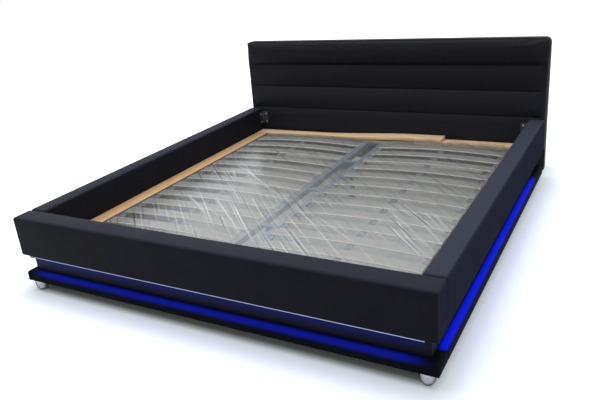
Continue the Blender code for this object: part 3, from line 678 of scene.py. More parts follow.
def panelCover(nodeName, seed):
    # Leather over foam round the board box. The inner skin and the bottom rim stay where the frame holds them.
    low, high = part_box(nodeName)
    mesh = gridded(nodeName, panelPad["step"])
    liner = panelPad["liner"]
    held = []
    for vertex in mesh.vertices:
        x, y, z = vertex.co
        inside = low.x + liner < x < high.x - liner and low.y + liner < y < high.y - liner and z < high.z - liner
        atSides = [min(c - a, b - c) < panelPad["edge"] for c, a, b in zip(vertex.co, low, high)]
        held.append(inside or z < low.z + heldRim or sum(atSides) > 1)
    inflate(mesh, held, panelPad)
    ripple(mesh, held, panelPad, seed)
    # Painted light: the right rail takes the copy with the paler, more lit tops.
    hide = rightHide if nodeName == "right_panel_cover" else panelHide
    piece = placePiece(nodeName.replace("_cover", "_leather"), mesh, hide, "bed_frame", [nodeName],
                       50)
    # Painted light: the outer side faces take the paler copy of the leather.
    secondMaterial(piece, outerHide, lambda centre, normal: normal.x * centre.x > 0.7
                   and abs(centre.x) > panelPad["outerFace"])


for seed, nodeName in enumerate(("foot_panel_cover", "left_panel_cover", "right_panel_cover"), 1):
    panelCover(nodeName, seed)
print("stage: panels padded")


ledgePad = {"step": 0.017, "shrink": 0.001, "pressure": 3.0, "stiffness": 14.0, "cap": 0.0024, "frames": 10,
            "ripple": 0.0008, "rippleSize": 0.17}


def ledge(nodeName, seed):
    low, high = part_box(nodeName)
    mesh = gridded(nodeName, ledgePad["step"])
    neckLow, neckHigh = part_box(nodeName.replace("_ledge", "_neck"))
    held = []
    for vertex in mesh.vertices:
        x, y, z = vertex.co
        underNeck = z > high.z - heldRim and neckLow.x < x < neckHigh.x and neckLow.y < y < neckHigh.y
        held.append(underNeck or z < low.z + heldRim)
    inflate(mesh, held, ledgePad)
    ripple(mesh, held, ledgePad, seed)
    piece = placePiece(nodeName + "_padding", mesh, ledgeHide, "bed_frame", [nodeName], 50)


for seed, nodeName in enumerate(("foot_ledge", "left_ledge", "right_ledge"), 5):
    ledge(nodeName, seed)
print("stage: ledges padded")


headboardPad = {"voxel": 0.0085, "shrink": 0.001, "pressure": 5.0, "stiffness": 10.0, "cap": 0.0075, "frames": 12,
                "seams": (0.391, 0.544, 0.696),
                "seamEnd": 1.004,        # from the middle to where a seam runs out
                "seamFade": 0.012,
                "seamDepth": 0.0055,
                "seamHalfWidth": 0.0045,
                "seamCuts": (-2.6, -1.6, -1.0, -0.5, 0.0, 0.5, 1.0, 1.6, 2.6),     # in half widths
                "seamReach": 2.6,
                "seamBand": 0.02,        # from a cut to the faces that it may divide
                "frontTurn": 0.3,        # faces of the front have a normal's y below this
                "puckerHeight": 0.0012,
                "puckerSpread": 0.030,
                "joinX": -0.010,         # faint join down the upper two channels
                "joinDepth": 0.0013,
                "joinWidth": 0.005,
                "unevenness": 0.0012}


def headboardCushion():
    pad = headboardPad
    low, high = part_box("headboard_cushion")
    mesh = remeshed(mergedCopy("headboard_cushion"), pad["voxel"])
    held = []
    for vertex, normal in zip(mesh.vertices, mesh.vertex_normals):
        x, y, z = vertex.co
        atSeam = min(abs(z - seam) for seam in pad["seams"]) < pad["voxel"] * 0.8 and abs(x) < pad["seamEnd"]
        held.append(normal.vector.y > 0.7 or atSeam or z < low.z + heldRim)
    inflate(mesh, held, pad)
    bm = bmesh.new()
    bm.from_mesh(mesh)
    bpy.data.meshes.remove(mesh)
    bm.verts.ensure_lookup_table()
    bmesh.ops.smooth_vert(bm, verts=[v for v in bm.verts if not held[v.index]], factor=0.5, use_axis_x=True,
                          use_axis_y=True, use_axis_z=True)
    bm.normal_update()
    for seam in pad["seams"]:
        for share in pad["seamCuts"]:
            height = seam + share * pad["seamHalfWidth"]
            band = [f for f in bm.faces if abs(f.calc_center_median().z - height) < pad["seamBand"]
                    and f.normal.y < pad["frontTurn"]]
            near = list({v for f in band for v in f.verts}) + list({e for f in band for e in f.edges}) + band
            bmesh.ops.bisect_plane(bm, geom=near, plane_co=(0, 0, height), plane_no=(0, 0, 1))
    bm.normal_update()
    for vertex in [v for v in bm.verts if v.normal.y <= pad["frontTurn"]]:
        x, y, z = vertex.co
        fade = 1.0 - smoothstep(pad["seamEnd"] - pad["seamFade"], pad["seamEnd"], abs(x))
        for index, seam in enumerate(pad["seams"]):
            gap = abs(z - seam)
            groove = max(0.0, 1.0 - gap / (pad["seamHalfWidth"] * pad["seamReach"])) ** 1.6
            pucker = pad["puckerHeight"] * noise.noise(Vector((x * 26.0, z * 5.0, index * 4.0)))
            pucker *= math.exp(-(gap / pad["puckerSpread"]) ** 2)
            vertex.co.y += fade * (groove * pad["seamDepth"] + pucker)
        if z > pad["seams"][1]:
            vertex.co.y += pad["joinDepth"] * math.exp(-((x - pad["joinX"]) / pad["joinWidth"]) ** 2)
        vertex.co.y += pad["unevenness"] * noise.noise(Vector((x * 5.0, z * 7.0, 3.0)))
    piece = placePiece("headboard_leather", bm, headHide, "bed_frame", ["headboard_cushion"], 60)


headboardCushion()
print("stage: headboard padded")


backCover = {"bevel": 0.004, "step": 0.05, "slack": 0.0014, "edge": 0.03}


def headboardBack():
    low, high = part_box("headboard_back_cover")
    bm = mergedCopy("headboard_back_cover")
    bevelSharp(bm, backCover["bevel"], 3, 40)
    for axis in (0, 2):
        cutAcross(bm, axis, low[axis], high[axis], backCover["step"])
    for vertex in bm.verts:
        x, y, z = vertex.co
        if y > high.y - 0.001 and abs(x) < high.x - backCover["edge"] and z < high.z - backCover["edge"]:
            vertex.co.y -= backCover["slack"] * (0.5 + noise.noise(Vector((x * 4.0, 0.0, z * 4.0))))
    piece = placePiece("headboard_back_leather", bm, backHide, "bed_frame", ["headboard_back_cover"],
                       35)


headboardBack()


# Board, pine and steel

bevelWidths = {"timber": 0.0016, "steel": 0.0009, "powerUnit": 0.001}


def bevelledPiece(nodeName, material, body, width):
    bm = mergedCopy(nodeName)
    bevelSharp(bm, width, 2)
    return placePiece(nodeName + "_finished", bm, material, body, [nodeName], 35)


for nodeName in ("foot_batten", "head_ledger", "short_head_plank", "long_head_plank"):
    bevelledPiece(nodeName, pineAlongX, "bed_frame", bevelWidths["timber"])
for nodeName, inwards in (("left_batten", 1), ("right_batten", -1)):
    batten = bevelledPiece(nodeName, pineAlongY, "bed_frame", bevelWidths["timber"])
    # Painted shade on the batten's inner side faces.
    secondMaterial(batten, paintedShadePine, lambda centre, normal: normal.x * inwards > 0.8)
for nodeNames, material in ((("foot_panel_box", "left_panel_box", "right_panel_box"), boardChips),
                            (("headboard_board",), stainedChips),
                            (("foot_bearer", "head_bearer"), bearerHide),
                            (("foot_neck", "left_neck", "right_neck"), neckHide),
                            (("base_centre_beam",), greySteel)):
    for nodeName in nodeNames:
        cadNodes[nodeName].data.materials.clear()
        cadNodes[nodeName].data.materials.append(material)
for nodeName in ("base_left_angle", "base_right_angle", "base_foot_angle", "base_head_angle"):
    bevelledPiece(nodeName, angleSteel, "slat_base", bevelWidths["steel"])
bevelledPiece("light_driver", blackPlastic, "bed_frame", bevelWidths["powerUnit"])
print("stage: timber and steel")


# Light strips: a dark channel with a milky lens, outwards at the foot and downwards at the sides

lightStrip = {"wall": 0.0011, "lensDepth": 0.0016, "lensFace": 0.0034, "bulge": 0.0004, "step": 0.10,
              "sideGap": 0.0002, "footGap": 0.0003}    # clearance round the lens


def stripOutline(width, height, facesDown):
    # Cross-section of the channel and of the lens: distance in from the outer face, and height.
    wall, depth, bulge = lightStrip["wall"], lightStrip["lensDepth"], lightStrip["bulge"]
    if facesDown:
        gap = lightStrip["sideGap"]
        near, far = wall + gap, width - wall - gap
        channel = [(0.0, 0.0), (wall, 0.0), (wall, depth), (width - wall, depth), (width - wall, 0.0), (width, 0.0),
                   (width, height), (0.0, height)]
        lens = [(near, bulge), (width / 2, 0.0), (far, bulge), (far, depth - gap), (near, depth - gap)]
        return channel, lens
    gap = lightStrip["footGap"]
    foot = height - lightStrip["lensFace"]
    top = height - gap
    channel = [(0.0, 0.0), (width, 0.0), (width, height), (depth, height), (depth, foot), (0.0, foot)]
    lens = [(depth - gap, foot + gap), (bulge, foot + gap), (0.0, (foot + top) / 2), (bulge, top), (depth - gap, top)]
    return channel, lens


def lightStripPiece(name):
    low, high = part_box(name + "_light_strip")
    size = high - low
    if name == "foot":
        place, outward, axis = low.copy(), Vector((0, -1, 0)), 0
    else:
        side = -1 if name == "left" else 1
        place, outward, axis = Vector((low.x if side < 0 else high.x, low.y, low.z)), Vector((side, 0, 0)), 1
    shift = Vector((size.x, 0, 0) if axis == 0 else (0, size.y, 0))
    channel, lens = stripOutline(size[1 - axis], size.z, name != "foot")
    for part, outline, material, replaced, sharp in (
            ("channel", channel, channelPlastic, [name + "_light_strip"], 30),
            ("lens", lens, stripCover if name == "foot" else underStripCover, (), 50)):
        bm = extruded([place - outward * across + Vector((0, 0, height)) for across, height in outline], shift)
        cutAcross(bm, axis, low[axis], high[axis], lightStrip["step"])
        placePiece(name + "_strip_" + part, bm, material, "bed_frame", replaced, sharp)


for name in ("foot", "left", "right"):
    lightStripPiece(name)
print("stage: light strips")


# Sprung slats and their straps

slatSet = {"count": 13, "width": 0.068, "thickness": 0.008, "crown": 0.013, "edgeRound": 0.0034,
           "cuts": 14, "unevenness": 0.0006, "endPlay": 0.0015}


def slatColumn(side, name):
    low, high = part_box(name + "_slats")
    count = slatSet["count"]
    pitch = (high.y - low.y - slatSet["width"]) / (count - 1)
    length = high.x - low.x
    rng = random.Random(11 + side)
    bm = bmesh.new()
    bmesh.ops.create_cube(bm, size=1.0)
    bmesh.ops.scale(bm, verts=bm.verts[:], vec=(length, slatSet["width"], slatSet["thickness"]))
    long = [e for e in bm.edges if abs(e.verts[0].co.x - e.verts[1].co.x) > length / 2]
    bmesh.ops.bevel(bm, geom=long, offset=slatSet["edgeRound"], offset_type="OFFSET", segments=3, profile=0.5,
                    affect="EDGES", material=-1)
    cutAcross(bm, 0, -length / 2, length / 2, length / slatSet["cuts"])
    for vertex in bm.verts:
        share = vertex.co.x / (length / 2)
        vertex.co.z += slatSet["crown"] * (1 - share * share) + slatSet["thickness"] / 2
    first = bm.verts[:] + bm.edges[:] + bm.faces[:]
    places = [low.y + slatSet["width"] / 2 + index * pitch for index in range(count)]
    for index, place in enumerate(places):
        geometry = first if index == count - 1 else bmesh.ops.duplicate(bm, geom=first)["geom"]
        verts = [g for g in geometry if isinstance(g, bmesh.types.BMVert)]
        shift = Vector(((low.x + high.x) / 2 + rng.uniform(-1, 1) * slatSet["endPlay"], place,
                        low.z + rng.uniform(0, 1) * slatSet["unevenness"]))
        bmesh.ops.translate(bm, verts=verts, vec=shift)
    piece = placePiece(name + "_slat_set", bm, slatWood, "slat_base", [name + "_slats"], 35)
    # Partly the bare ply edge, partly a painted highlight along it.
    secondMaterial(piece, slatEdge, lambda centre, normal: -0.6 < normal.z < 0.9)
    return places


strap = {"distance": 0.474, "width": 0.034, "thickness": 0.0012, "sag": 0.0035, "tail": 0.030, "gap": 0.0003}


def strapRibbon(side, name, places):
    # Webbing stapled under each slat, hanging a little between them.
    low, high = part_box(name + "_slats")
    start, end = places[0] - strap["tail"], places[-1] + strap["tail"]
    pitch = places[1] - places[0]
    share = (strap["distance"] - (abs(low.x) + abs(high.x)) / 2) / ((high.x - low.x) / 2)
    underside = low.z + slatSet["crown"] * (1 - share * share) - strap["gap"]
    bm = bmesh.new()
    bmesh.ops.create_cube(bm, size=1.0)
    bmesh.ops.scale(bm, verts=bm.verts[:], vec=(strap["width"], end - start, strap["thickness"]))
    bmesh.ops.translate(bm, verts=bm.verts[:], vec=(side * strap["distance"], (start + end) / 2,
                                                    underside - strap["thickness"] / 2))
    cutAcross(bm, 1, start, end, pitch / 8)
    for vertex in bm.verts:
        if places[0] < vertex.co.y < places[-1]:
            vertex.co.z -= strap["sag"] * math.sin(math.pi * (vertex.co.y - places[0]) / pitch) ** 2
    placePiece(name + "_strap", bm, strapWebbing, "slat_base", (), 40)


for side, name in ((-1, "left"), (1, "right")):
    strapRibbon(side, name, slatColumn(side, name))
print("stage: slats and straps")


# Clear packing film over the slatted base

filmSheet = {
    "cell": 0.0060,
    "margin": 0.0003,          # inside the space that the frame gives it
    "skirt": 0.020,            # what is turned down all round
    "slack": 0.0006,           # how far it hangs between the slats
    "clearance": 0.0007,
    "unevenness": 0.0008,
    "flap": (0.42, 0.47, 0.80, 0.84),   # across, where its edge lies out over the plank: none, full, full, none
    "flapReach": 0.034,
    "flapHeight": 0.0065,
    "crumple": 0.008,          # how much higher than that its waves rise
    "ridge": 0.0008,           # height of a long crease
    "ridgeHalf": 0.0062,       # and half its width
    "longShow": (0.35, 0.8),   # how strongly one shows, at least and at most
    "fineRidge": 0.0003,
    "fineHalf": 0.0044,
    "fineCreases": 40,
    "fineShow": (0.035, 0.10),
    "fineAngle": (-44, 6),     # degrees, and how much they vary
    "fineReach": (0.04, 0.13), # half its length
    "fineHeight": (0.5, 1.3),  # shares of the height above
    "creaseWander": 0.0012,
    "creaseReach": 2.6,        # half widths from its middle to where a crease ends
    "ridgeShare": 0.75,        # of the half width that shows as a ridge
    "flank": (1.3, 0.7),       # half widths to the middle of the flank beside it, and its own half width
    "flankShow": 0.55,
    "flapShow": 0.9,
    "calm": 0.42,              # strength of the streaks away from the fans
    "square": 0.04,            # of the grid by which creases are found
}
# Long creases, from where each starts to where it runs out
longCreases = [
    ((-0.704, 0.263), (-0.052, -0.211)), ((-0.459, -0.280), (-0.062, -0.637)), ((-0.650, -0.281), (-0.350, -0.505)),
    ((-0.424, -0.419), (-0.108, -0.593)), ((-0.926, 0.285), (-0.512, -0.026)), ((-0.778, 0.179), (-0.670, -0.034)),
    ((-0.675, 0.205), (-0.494, -0.022)), ((-0.456, 0.297), (-0.559, 0.372)), ((-0.152, -0.107), (0.278, -0.484)),
    ((-0.283, 0.417), (0.241, -0.113)), ((-0.058, 0.320), (0.516, -0.292)), ((0.134, -0.307), (0.502, -0.585)),
    ((0.142, -0.617), (0.355, -0.714)), ((0.500, -0.172), (0.816, -0.521)), ((0.547, -0.106), (0.820, -0.420)),
    ((0.628, -0.108), (0.826, -0.354)), ((0.693, -0.127), (0.820, -0.301)), ((0.518, -0.192), (0.695, -0.470)),
    ((0.499, 0.424), (0.829, 0.083)), ((0.262, 0.624), (0.576, 0.392)), ((-0.630, 0.650), (-0.283, 0.417)),
]
# Where the film is gathered into fine creases: centre, reach and how strong
creaseFans = [(-0.70, -0.65, 0.17, 1.0), (-0.72, 0.12, 0.20, 1.0), (-0.51, 0.33, 0.10, 0.8), (0.66, -0.30, 0.20, 1.0),
              (0.08, -0.30, 0.26, 0.8), (-0.35, -0.45, 0.22, 0.9), (0.25, -0.66, 0.16, 0.8), (0.02, 0.16, 0.24, 0.7),
              (0.62, 0.28, 0.20, 0.6), (-0.45, 0.52, 0.16, 0.6)]


def creaseSegments():
    # Every crease as a straight segment: start, end, height, half width and how strongly it shows.
    rng = random.Random(23)
    sheet = filmSheet
    found = [(Vector(first), Vector(second), sheet["ridge"], sheet["ridgeHalf"], rng.uniform(*sheet["longShow"]))
             for first, second in longCreases]
    for _ in range(sheet["fineCreases"]):
        x, y, spread, strength = rng.choice(creaseFans)
        centre = Vector((x + rng.gauss(0, spread * 0.5), y + rng.gauss(0, spread * 0.5)))
        angle = math.radians(rng.gauss(*sheet["fineAngle"]))
        along = Vector((math.cos(angle), math.sin(angle))) * rng.uniform(*sheet["fineReach"])
        found.append((centre - along, centre + along, sheet["fineRidge"] * rng.uniform(*sheet["fineHeight"]),
                      sheet["fineHalf"], strength * rng.uniform(*sheet["fineShow"])))
    return found


def creasesBySquare():
    # The creases that pass through or beside each square of a coarse grid.
    square = filmSheet["square"]
    near = {}
    for start, end, height, width, strength in creaseSegments():
        crease = (*start, *end, height, width, strength)
        steps = max(2, int((end - start).length / (square * 0.5)))
        for step in range(steps + 1):
            spot = start.lerp(end, step / steps)
            for dx in (-1, 0, 1):
                for dy in (-1, 0, 1):
                    near.setdefault((spot.x // square + dx, spot.y // square + dy), set()).add(crease)
    return near


def creaseMarks(x, y, creases):
    # How high the creases lift the film at a spot, and how strongly their ridge shows there as painted highlight and
    # their flank as painted shade.
    lift = ridge = flank = 0.0
    flankPlace, flankHalf = filmSheet["flank"]
    for ax, ay, bx, by, height, width, strength in creases:
        length2 = (bx - ax) ** 2 + (by - ay) ** 2
        along = min(1.0, max(0.0, ((x - ax) * (bx - ax) + (y - ay) * (by - ay)) / length2))
        wander = filmSheet["creaseWander"] * noise.noise(Vector((along * 3.0, ax * 9.0, ay * 9.0)))
        aside = (((x - ax) * (by - ay) - (y - ay) * (bx - ax)) / math.sqrt(length2) + wander) / width
        if abs(aside) < filmSheet["creaseReach"] and 0.0 < along < 1.0:
            fade = math.sin(math.pi * along) ** 0.5
            lift = max(lift, fade * height * math.exp(-aside ** 2))
            ridge = max(ridge, fade * strength * math.exp(-(aside / filmSheet["ridgeShare"]) ** 2))
            beside = math.exp(-((aside - flankPlace) / flankHalf) ** 2)
            flank = max(flank, fade * strength * beside * filmSheet["flankShow"])
    return lift, ridge, flank


def packingFilm():
    sheet = filmSheet
    low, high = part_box("slat_base_film")
    slatLow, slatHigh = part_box("right_slats")
    halfX = high.x - sheet["margin"]
    nearY, farY = low.y + sheet["margin"], high.y - sheet["margin"]
    spanX = 2 * (halfX + sheet["skirt"])
    spanY = farY - nearY + 2 * sheet["skirt"]
    bm = bmesh.new()
    bmesh.ops.create_grid(bm, x_segments=round(spanX / sheet["cell"]), y_segments=round(spanY / sheet["cell"]),
                          size=0.5)
    bmesh.ops.scale(bm, verts=bm.verts[:], vec=(spanX, spanY, 1.0))
    bmesh.ops.translate(bm, verts=bm.verts[:], vec=(0.0, (nearY + farY) / 2, 0.0))
    marks = bm.verts.layers.float_vector.new("filmMarks")
    near = creasesBySquare()
    slatMiddle = (slatLow.x + slatHigh.x) / 2
    slatHalf = (slatHigh.x - slatLow.x) / 2
    pitch = (slatHigh.y - slatLow.y - slatSet["width"]) / (slatSet["count"] - 1)
    crest = slatHigh.z + sheet["clearance"] + slatSet["unevenness"]
    rim = crest - slatSet["crown"]
    flapStart, flapFull, flapFades, flapEnd = sheet["flap"]
    for vertex in bm.verts:
        x, y = vertex.co.x, vertex.co.y
        lift, ridge, flank = creaseMarks(x, y, near.get((x // sheet["square"], y // sheet["square"]), ()))
        share = min(1.0, abs((abs(x) - slatMiddle) / slatHalf))
        inGap = ((y - slatLow.y) % pitch - slatSet["width"]) / (pitch - slatSet["width"])
        level = crest - slatSet["crown"] * share * share
        if 0 < inGap < 1:
            level -= sheet["slack"] * math.sin(math.pi * inGap) ** 1.2
        level += lift + sheet["unevenness"] * noise.noise(Vector((x * 9.0, y * 9.0, 1.0)))
        flap = smoothstep(flapStart, flapFull, x) * (1 - smoothstep(flapFades, flapEnd, x))
        overX, overNear, overFar = abs(x) - halfX, nearY - y, y - farY
        placeX, placeY = x, y
        if overX > 0:
            placeX = math.copysign(halfX, x)
            level = rim - overX
        if overNear > 0:
            placeY = nearY
            level = min(level, rim) - overNear
        if overFar > 0:
            down = rim - overFar
            crumple = 0.5 + 0.5 * noise.noise(Vector((x * 34.0, y * 60.0, 7.0)))
            out = rim + sheet["flapHeight"] + sheet["crumple"] * crumple
            level = down + (out - down) * flap if overX <= 0 else down - overX
            placeY = farY + overFar * flap * sheet["flapReach"] / sheet["skirt"]
        # Painted glints: white marks on the crumpled edge that lies out over the plank.
        if y > farY - 0.03:
            wave = max(0.0, noise.noise(Vector((x * 60.0, y * 60.0, 2.0))))
            ridge = max(ridge, sheet["flapShow"] * flap * wave)
        gathered = max(strength * math.exp(-((x - fanX) ** 2 + (y - fanY) ** 2) / spread ** 2)
                       for fanX, fanY, spread, strength in creaseFans)
        vertex[marks] = (ridge, flank, sheet["calm"] + (1.0 - sheet["calm"]) * gathered)
        vertex.co = (placeX, placeY, level)
    piece = placePiece("packing_film", bm, clearFilm, "slat_base", ["slat_base_film"])


packingFilm()
print("stage: packing film")


# Fittings

screwHead = {"radius": 0.0055, "height": 0.0024, "slot": 0.0012, "slotReach": 0.62, "slotDepth": 0.4, "inset": 0.016}
bracket = {"leg": 0.045, "wall": 0.003, "bevel": 0.0008}


def screwInto(bm, place, direction):
    # A domed head with a crossed recess, its axis along direction.
    radius, height, slot = screwHead["radius"], screwHead["height"], screwHead["slot"]
    made = bmesh.ops.create_uvsphere(bm, u_segments=16, v_segments=10, radius=radius)["verts"]
    flat = [v for v in made if v.co.z < -0.0001]
    bmesh.ops.scale(bm, verts=made, vec=(1.0, 1.0, height / radius))
    for vertex in flat:
        vertex.co.z = 0.0
    for vertex in made:
        x, y, z = [abs(c) for c in vertex.co]
        if z > height * 0.5 and min(x, y) < slot and max(x, y) < radius * screwHead["slotReach"]:
            vertex.co.z -= height * screwHead["slotDepth"]
    turn = Vector((0, 0, 1)).rotation_difference(direction).to_matrix()
    bmesh.ops.rotate(bm, verts=made, cent=(0, 0, 0), matrix=turn)
    bmesh.ops.translate(bm, verts=made, vec=place)


def cornerBracket(nodeName):
    low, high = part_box(nodeName)
    side = 1 if low.x < 0 else -1      # direction from the corner into the bed, across
    end = 1 if low.y < 0 else -1       # and along
    cornerX = low.x if side > 0 else high.x
    cornerY = low.y if end > 0 else high.y
    leg, wall = bracket["leg"], bracket["wall"]
    outline = [(0, 0), (leg, 0), (leg, wall), (wall, wall), (wall, leg), (0, leg)]
    bm = extruded([(cornerX + side * x, cornerY + end * y, low.z) for x, y in outline], (0, 0, high.z - low.z))
    bevelSharp(bm, bracket["bevel"], 2)
    across = leg - screwHead["inset"]
    for height in (low.z + screwHead["inset"], high.z - screwHead["inset"]):
        screwInto(bm, (cornerX + side * across, cornerY + end * wall, height), Vector((0, end, 0)))
        screwInto(bm, (cornerX + side * wall, cornerY + end * across, height), Vector((side, 0, 0)))
    piece = placePiece(nodeName + "_plate", bm, dullPlate, "bed_frame", [nodeName], 35)
    secondMaterial(piece, zincPlate, lambda centre, normal: min(abs(centre.x - cornerX), abs(centre.y - cornerY))
                   > wall + 0.00005)


for corner in ("foot_left", "foot_right", "head_left", "head_right"):
    cornerBracket(corner + "_bracket")


chromeLeg = {"edge": 0.0012, "baseRadius": 0.022, "curveHeight": 0.030, "curveSteps": 12, "rim": 0.0008,
             "boreRadius": 0.0055, "boreDepth": 0.0297}
footGlide = {"edge": 0.0016, "stemRadius": 0.0048, "threadDepth": 0.0005, "threadPitch": 0.0016, "collar": 0.009,
             "height": 0.008, "steps": 40}
centreLeg = {"edge": 0.002, "footEdge": 0.006, "footTop": 0.008, "footTaper": 0.003, "collar": 0.0155,
             "collarTop": 0.0095, "postRadius": 0.014, "postFoot": 0.012, "topEdge": 0.001, "steps": 36}


def chromeLegProfile(height, radius):
    # A bowl: straight at the top, drawn in to a narrower rolled rim at the bottom.
    edge, base, rim = chromeLeg["edge"], chromeLeg["baseRadius"], chromeLeg["rim"]
    points = [(0.0, height), (radius - edge, height), (radius - edge * 0.3, height - edge * 0.3),
              (radius, height - edge)]
    for step in range(chromeLeg["curveSteps"] + 1):
        turn = math.pi / 2 * step / chromeLeg["curveSteps"]
        points.append((base + (radius - base) * math.cos(turn), chromeLeg["curveHeight"] * (1 - math.sin(turn)) + rim))
    return points + [(base - rim, 0.0), (chromeLeg["boreRadius"], 0.0),
                     (chromeLeg["boreRadius"], chromeLeg["boreDepth"]), (0.0, chromeLeg["boreDepth"])]


def glideProfile(radius, top):
    height, edge, stem, pitch = [footGlide[name] for name in ("height", "edge", "stemRadius", "threadPitch")]
    points = [(0.0, 0.0), (radius - edge, 0.0), (radius - edge * 0.3, edge * 0.3), (radius, edge),
              (radius, height - edge), (radius - edge, height - 0.0004), (footGlide["collar"], height - 0.0002),
              (stem, height)]
    level = height + 0.001
    while level < top - pitch:
        points += [(stem - footGlide["threadDepth"], level), (stem, level + pitch / 2)]
        level += pitch
    return points + [(stem * 0.8, top), (0.0, top)]


def centreLegProfile(radius, top):
    leg = centreLeg
    return [(0.0, 0.0), (radius - leg["edge"], 0.0), (radius, leg["edge"]), (radius, leg["footEdge"]),
            (radius - leg["footTaper"], leg["footTop"]), (leg["collar"], leg["collarTop"]),
            (leg["postRadius"], leg["postFoot"]), (leg["postRadius"], top - leg["topEdge"]),
            (leg["postRadius"] - leg["topEdge"], top), (0.0, top)]


def upright(nodeName):
    # Where a turned piece stands, its radius and its height.
    low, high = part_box(nodeName)
    return ((low.x + high.x) / 2, (low.y + high.y) / 2, low.z), (high.x - low.x) / 2, high.z - low.z


for corner in ("foot_left", "foot_right", "side_front_left", "side_front_right", "side_back_left",
               "side_back_right", "head_left", "head_right"):
    place, radius, tall = upright(corner + "_leg")
    placePiece(corner + "_chrome_leg", spun(chromeLegProfile(tall, radius), place), chromePlate, "bed_frame",
               [corner + "_leg"], 30)
    place, radius, tall = upright(corner + "_glide")
    placePiece(corner + "_levelling_glide", spun(glideProfile(radius, tall), place, footGlide["steps"]),
               glidePlastic, corner + "_glide", [corner + "_glide"], 30)
for nodeName in ("centre_leg_foot_end", "centre_leg_head_end"):
    place, radius, tall = upright(nodeName)
    placePiece(nodeName + "_post", spun(centreLegProfile(radius, tall), place, centreLeg["steps"]), greySteel,
               cadNodes[nodeName]["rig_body"], [nodeName], 30)
print("stage: fittings")


# Studio: white floor and surround, soft light from above, light strips, camera

studio = {
    "floorHalf": 14.0,
    "ambient": 0.55,
    "keyPower": 150.0,
    "keySize": 5.0,
    "keyPlace": (-0.6, 0.2, 4.2),
    "blue": (0.012, 0.035, 1.0),
    "stripPower": {"foot": 0.20, "left": 0.25, "right": 0.25},
    "stripLamp": 0.008,              # its width
    "stripShare": 0.98,              # its length, of the strip's
    "stripBelow": 0.0008,            # how far under the strip it hangs
    # Painted shadow: the floor under the bed is given a darker colour where the camera sees it.
    "bounce": (0.60, 0.62, 0.63),    # floor colour that lights the bed
    "underBed": (0.53, 0.56, 0.53),
    "openFloor": (0.88, 0.92, 0.93),
    "footprint": (1.00, 1.10, 1.24),    # where the bed's floor ends: to the sides, in front, behind
    "openFrom": 0.10,                # distance from it where the open floor's colour is reached
    "white": (0.05, 0.70),           # and from where to where the floor washes out to white; nearer the bed it stays darker, a painted band of shade beside its real shadow
    # Painted light: a pale bluish glow on the floor along the bed's edge, in rimTint, for light from the strips.
    "rimLight": 0.39,                # painted light: how much glow the floor has right at the footprint's edge
    "rim": (-0.040, 0.004),          # across the edge, where that starts and where it is full
    "rimTint": (0.82, 0.88, 1.0),
    "lens": 38.238,
    "cameraPlace": (1.5426, -2.8143, 1.4349),
    "cameraTurn": (68.3715, 4.9834, 28.4196),    # degrees
}


def seenDirectly(tree, path):
    # 1 for what the camera sees, in mirrors and through glass too, and 0 for what only lights the bed.
    seen = addMath(tree, "MAXIMUM", path["Is Camera Ray"], path["Is Glossy Ray"])
    return addMath(tree, "MAXIMUM", seen, path["Is Transmission Ray"])


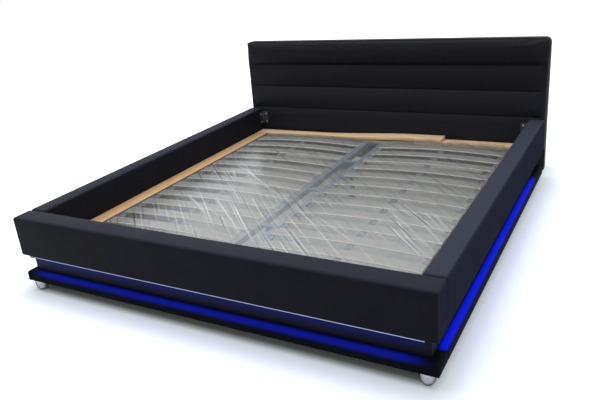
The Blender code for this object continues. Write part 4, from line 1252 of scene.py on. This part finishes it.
def studioFloor():
    bm = bmesh.new()
    bmesh.ops.create_grid(bm, x_segments=1, y_segments=1, size=studio["floorHalf"])
    floor = addObject("studioFloor", meshFrom(bm, "studioFloor"))
    material, tree, shader, coordinates = newMaterial("studioFloor")
    path = tree.nodes.new("ShaderNodeLightPath").outputs
    axes = splitAxes(tree, coordinates)
    sideEnd, frontEnd, backEnd = studio["footprint"]
    aside = addMath(tree, "SUBTRACT", addMath(tree, "ABSOLUTE", axes["X"]), sideEnd)
    ahead = addMath(tree, "SUBTRACT", multiplied(tree, axes["Y"], -1.0), frontEnd)
    lengthwise = addMath(tree, "MAXIMUM", ahead, addMath(tree, "SUBTRACT", axes["Y"], backEnd))
    beyond = [addMath(tree, "MAXIMUM", past, 0.0) for past in (aside, lengthwise)]
    offset = addNode(tree, "ShaderNodeCombineXYZ", {"X": beyond[0], "Y": beyond[1]}).outputs[0]
    distance = addNode(tree, "ShaderNodeVectorMath", {0: offset}, operation="LENGTH").outputs["Value"]
    # Painted shade: the white comes in only away from the bed, so the floor is darker close to it, beside its real
    # shadow.
    washed = mapRange(tree, distance, *studio["white"])
    # Painted light: the bluish glow along the footprint's edge.
    lifted = mapRange(tree, addMath(tree, "MAXIMUM", aside, ahead), *studio["rim"], 0.0, studio["rimLight"])
    strength = addMath(tree, "MULTIPLY_ADD", washed, 1.0 - studio["rimLight"], lifted)
    # Painted shadow: inside the footprint the floor has the darker underBed colour.
    shown = blendColours(tree, mapRange(tree, distance, 0.0, studio["openFrom"]), studio["underBed"],
                         studio["openFloor"])
    feed(tree, shader, {
        "Base Color": blendColours(tree, path["Is Camera Ray"], studio["bounce"], shown),
        "Emission Color": blendColours(tree, washed, studio["rimTint"], (1.0, 1.0, 1.0)),
        "Emission Strength": multiplied(tree, strength, seenDirectly(tree, path)),
        "Roughness": 0.9,
        "Specular IOR Level": 0.0,
    })
    floor.data.materials.append(material)


def studioWorld():
    world = bpy.data.worlds.new("studioWorld")
    scene.world = world
    world.use_nodes = True
    tree = world.node_tree
    seen = seenDirectly(tree, tree.nodes.new("ShaderNodeLightPath").outputs)
    feed(tree, tree.nodes["Background"], {"Color": (1.0, 1.0, 1.0, 1.0),
                                          "Strength": mapRange(tree, seen, 0.0, 1.0, studio["ambient"], 1.0)})


def addLamp(name, power, size, place, colour, length=None):
    lamp = bpy.data.lights.new(name, "AREA")
    lamp.energy = power
    lamp.color = colour
    lamp.size = size
    if length:
        lamp.shape = "RECTANGLE"
        lamp.size_y = length
    holder = addObject(name, lamp)
    holder.location = place
    holder.visible_camera = False


def studioLamps():
    addLamp("keyLamp", studio["keyPower"], studio["keySize"], studio["keyPlace"], (1.0, 1.0, 1.0))
    for name, power in studio["stripPower"].items():
        low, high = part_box(name + "_light_strip")
        along = (high - low) * studio["stripShare"]
        wide, long = (along.x, studio["stripLamp"]) if name == "foot" else (studio["stripLamp"], along.y)
        place = ((low.x + high.x) / 2, (low.y + high.y) / 2, low.z - studio["stripBelow"])
        addLamp(name + "StripLamp", power, wide, place, studio["blue"], long)


def studioCamera():
    lens = bpy.data.cameras.new("photoCamera")
    lens.sensor_width = 36.0
    lens.lens = studio["lens"]
    lens.clip_start = 0.05
    lens.clip_end = 60.0
    camera = addObject("photoCamera", lens)
    camera.location = studio["cameraPlace"]
    camera.rotation_euler = [math.radians(angle) for angle in studio["cameraTurn"]]
    scene.camera = camera


studioFloor()
studioWorld()
studioLamps()
studioCamera()
scene.view_settings.view_transform = "Standard"
print("stage: studio")
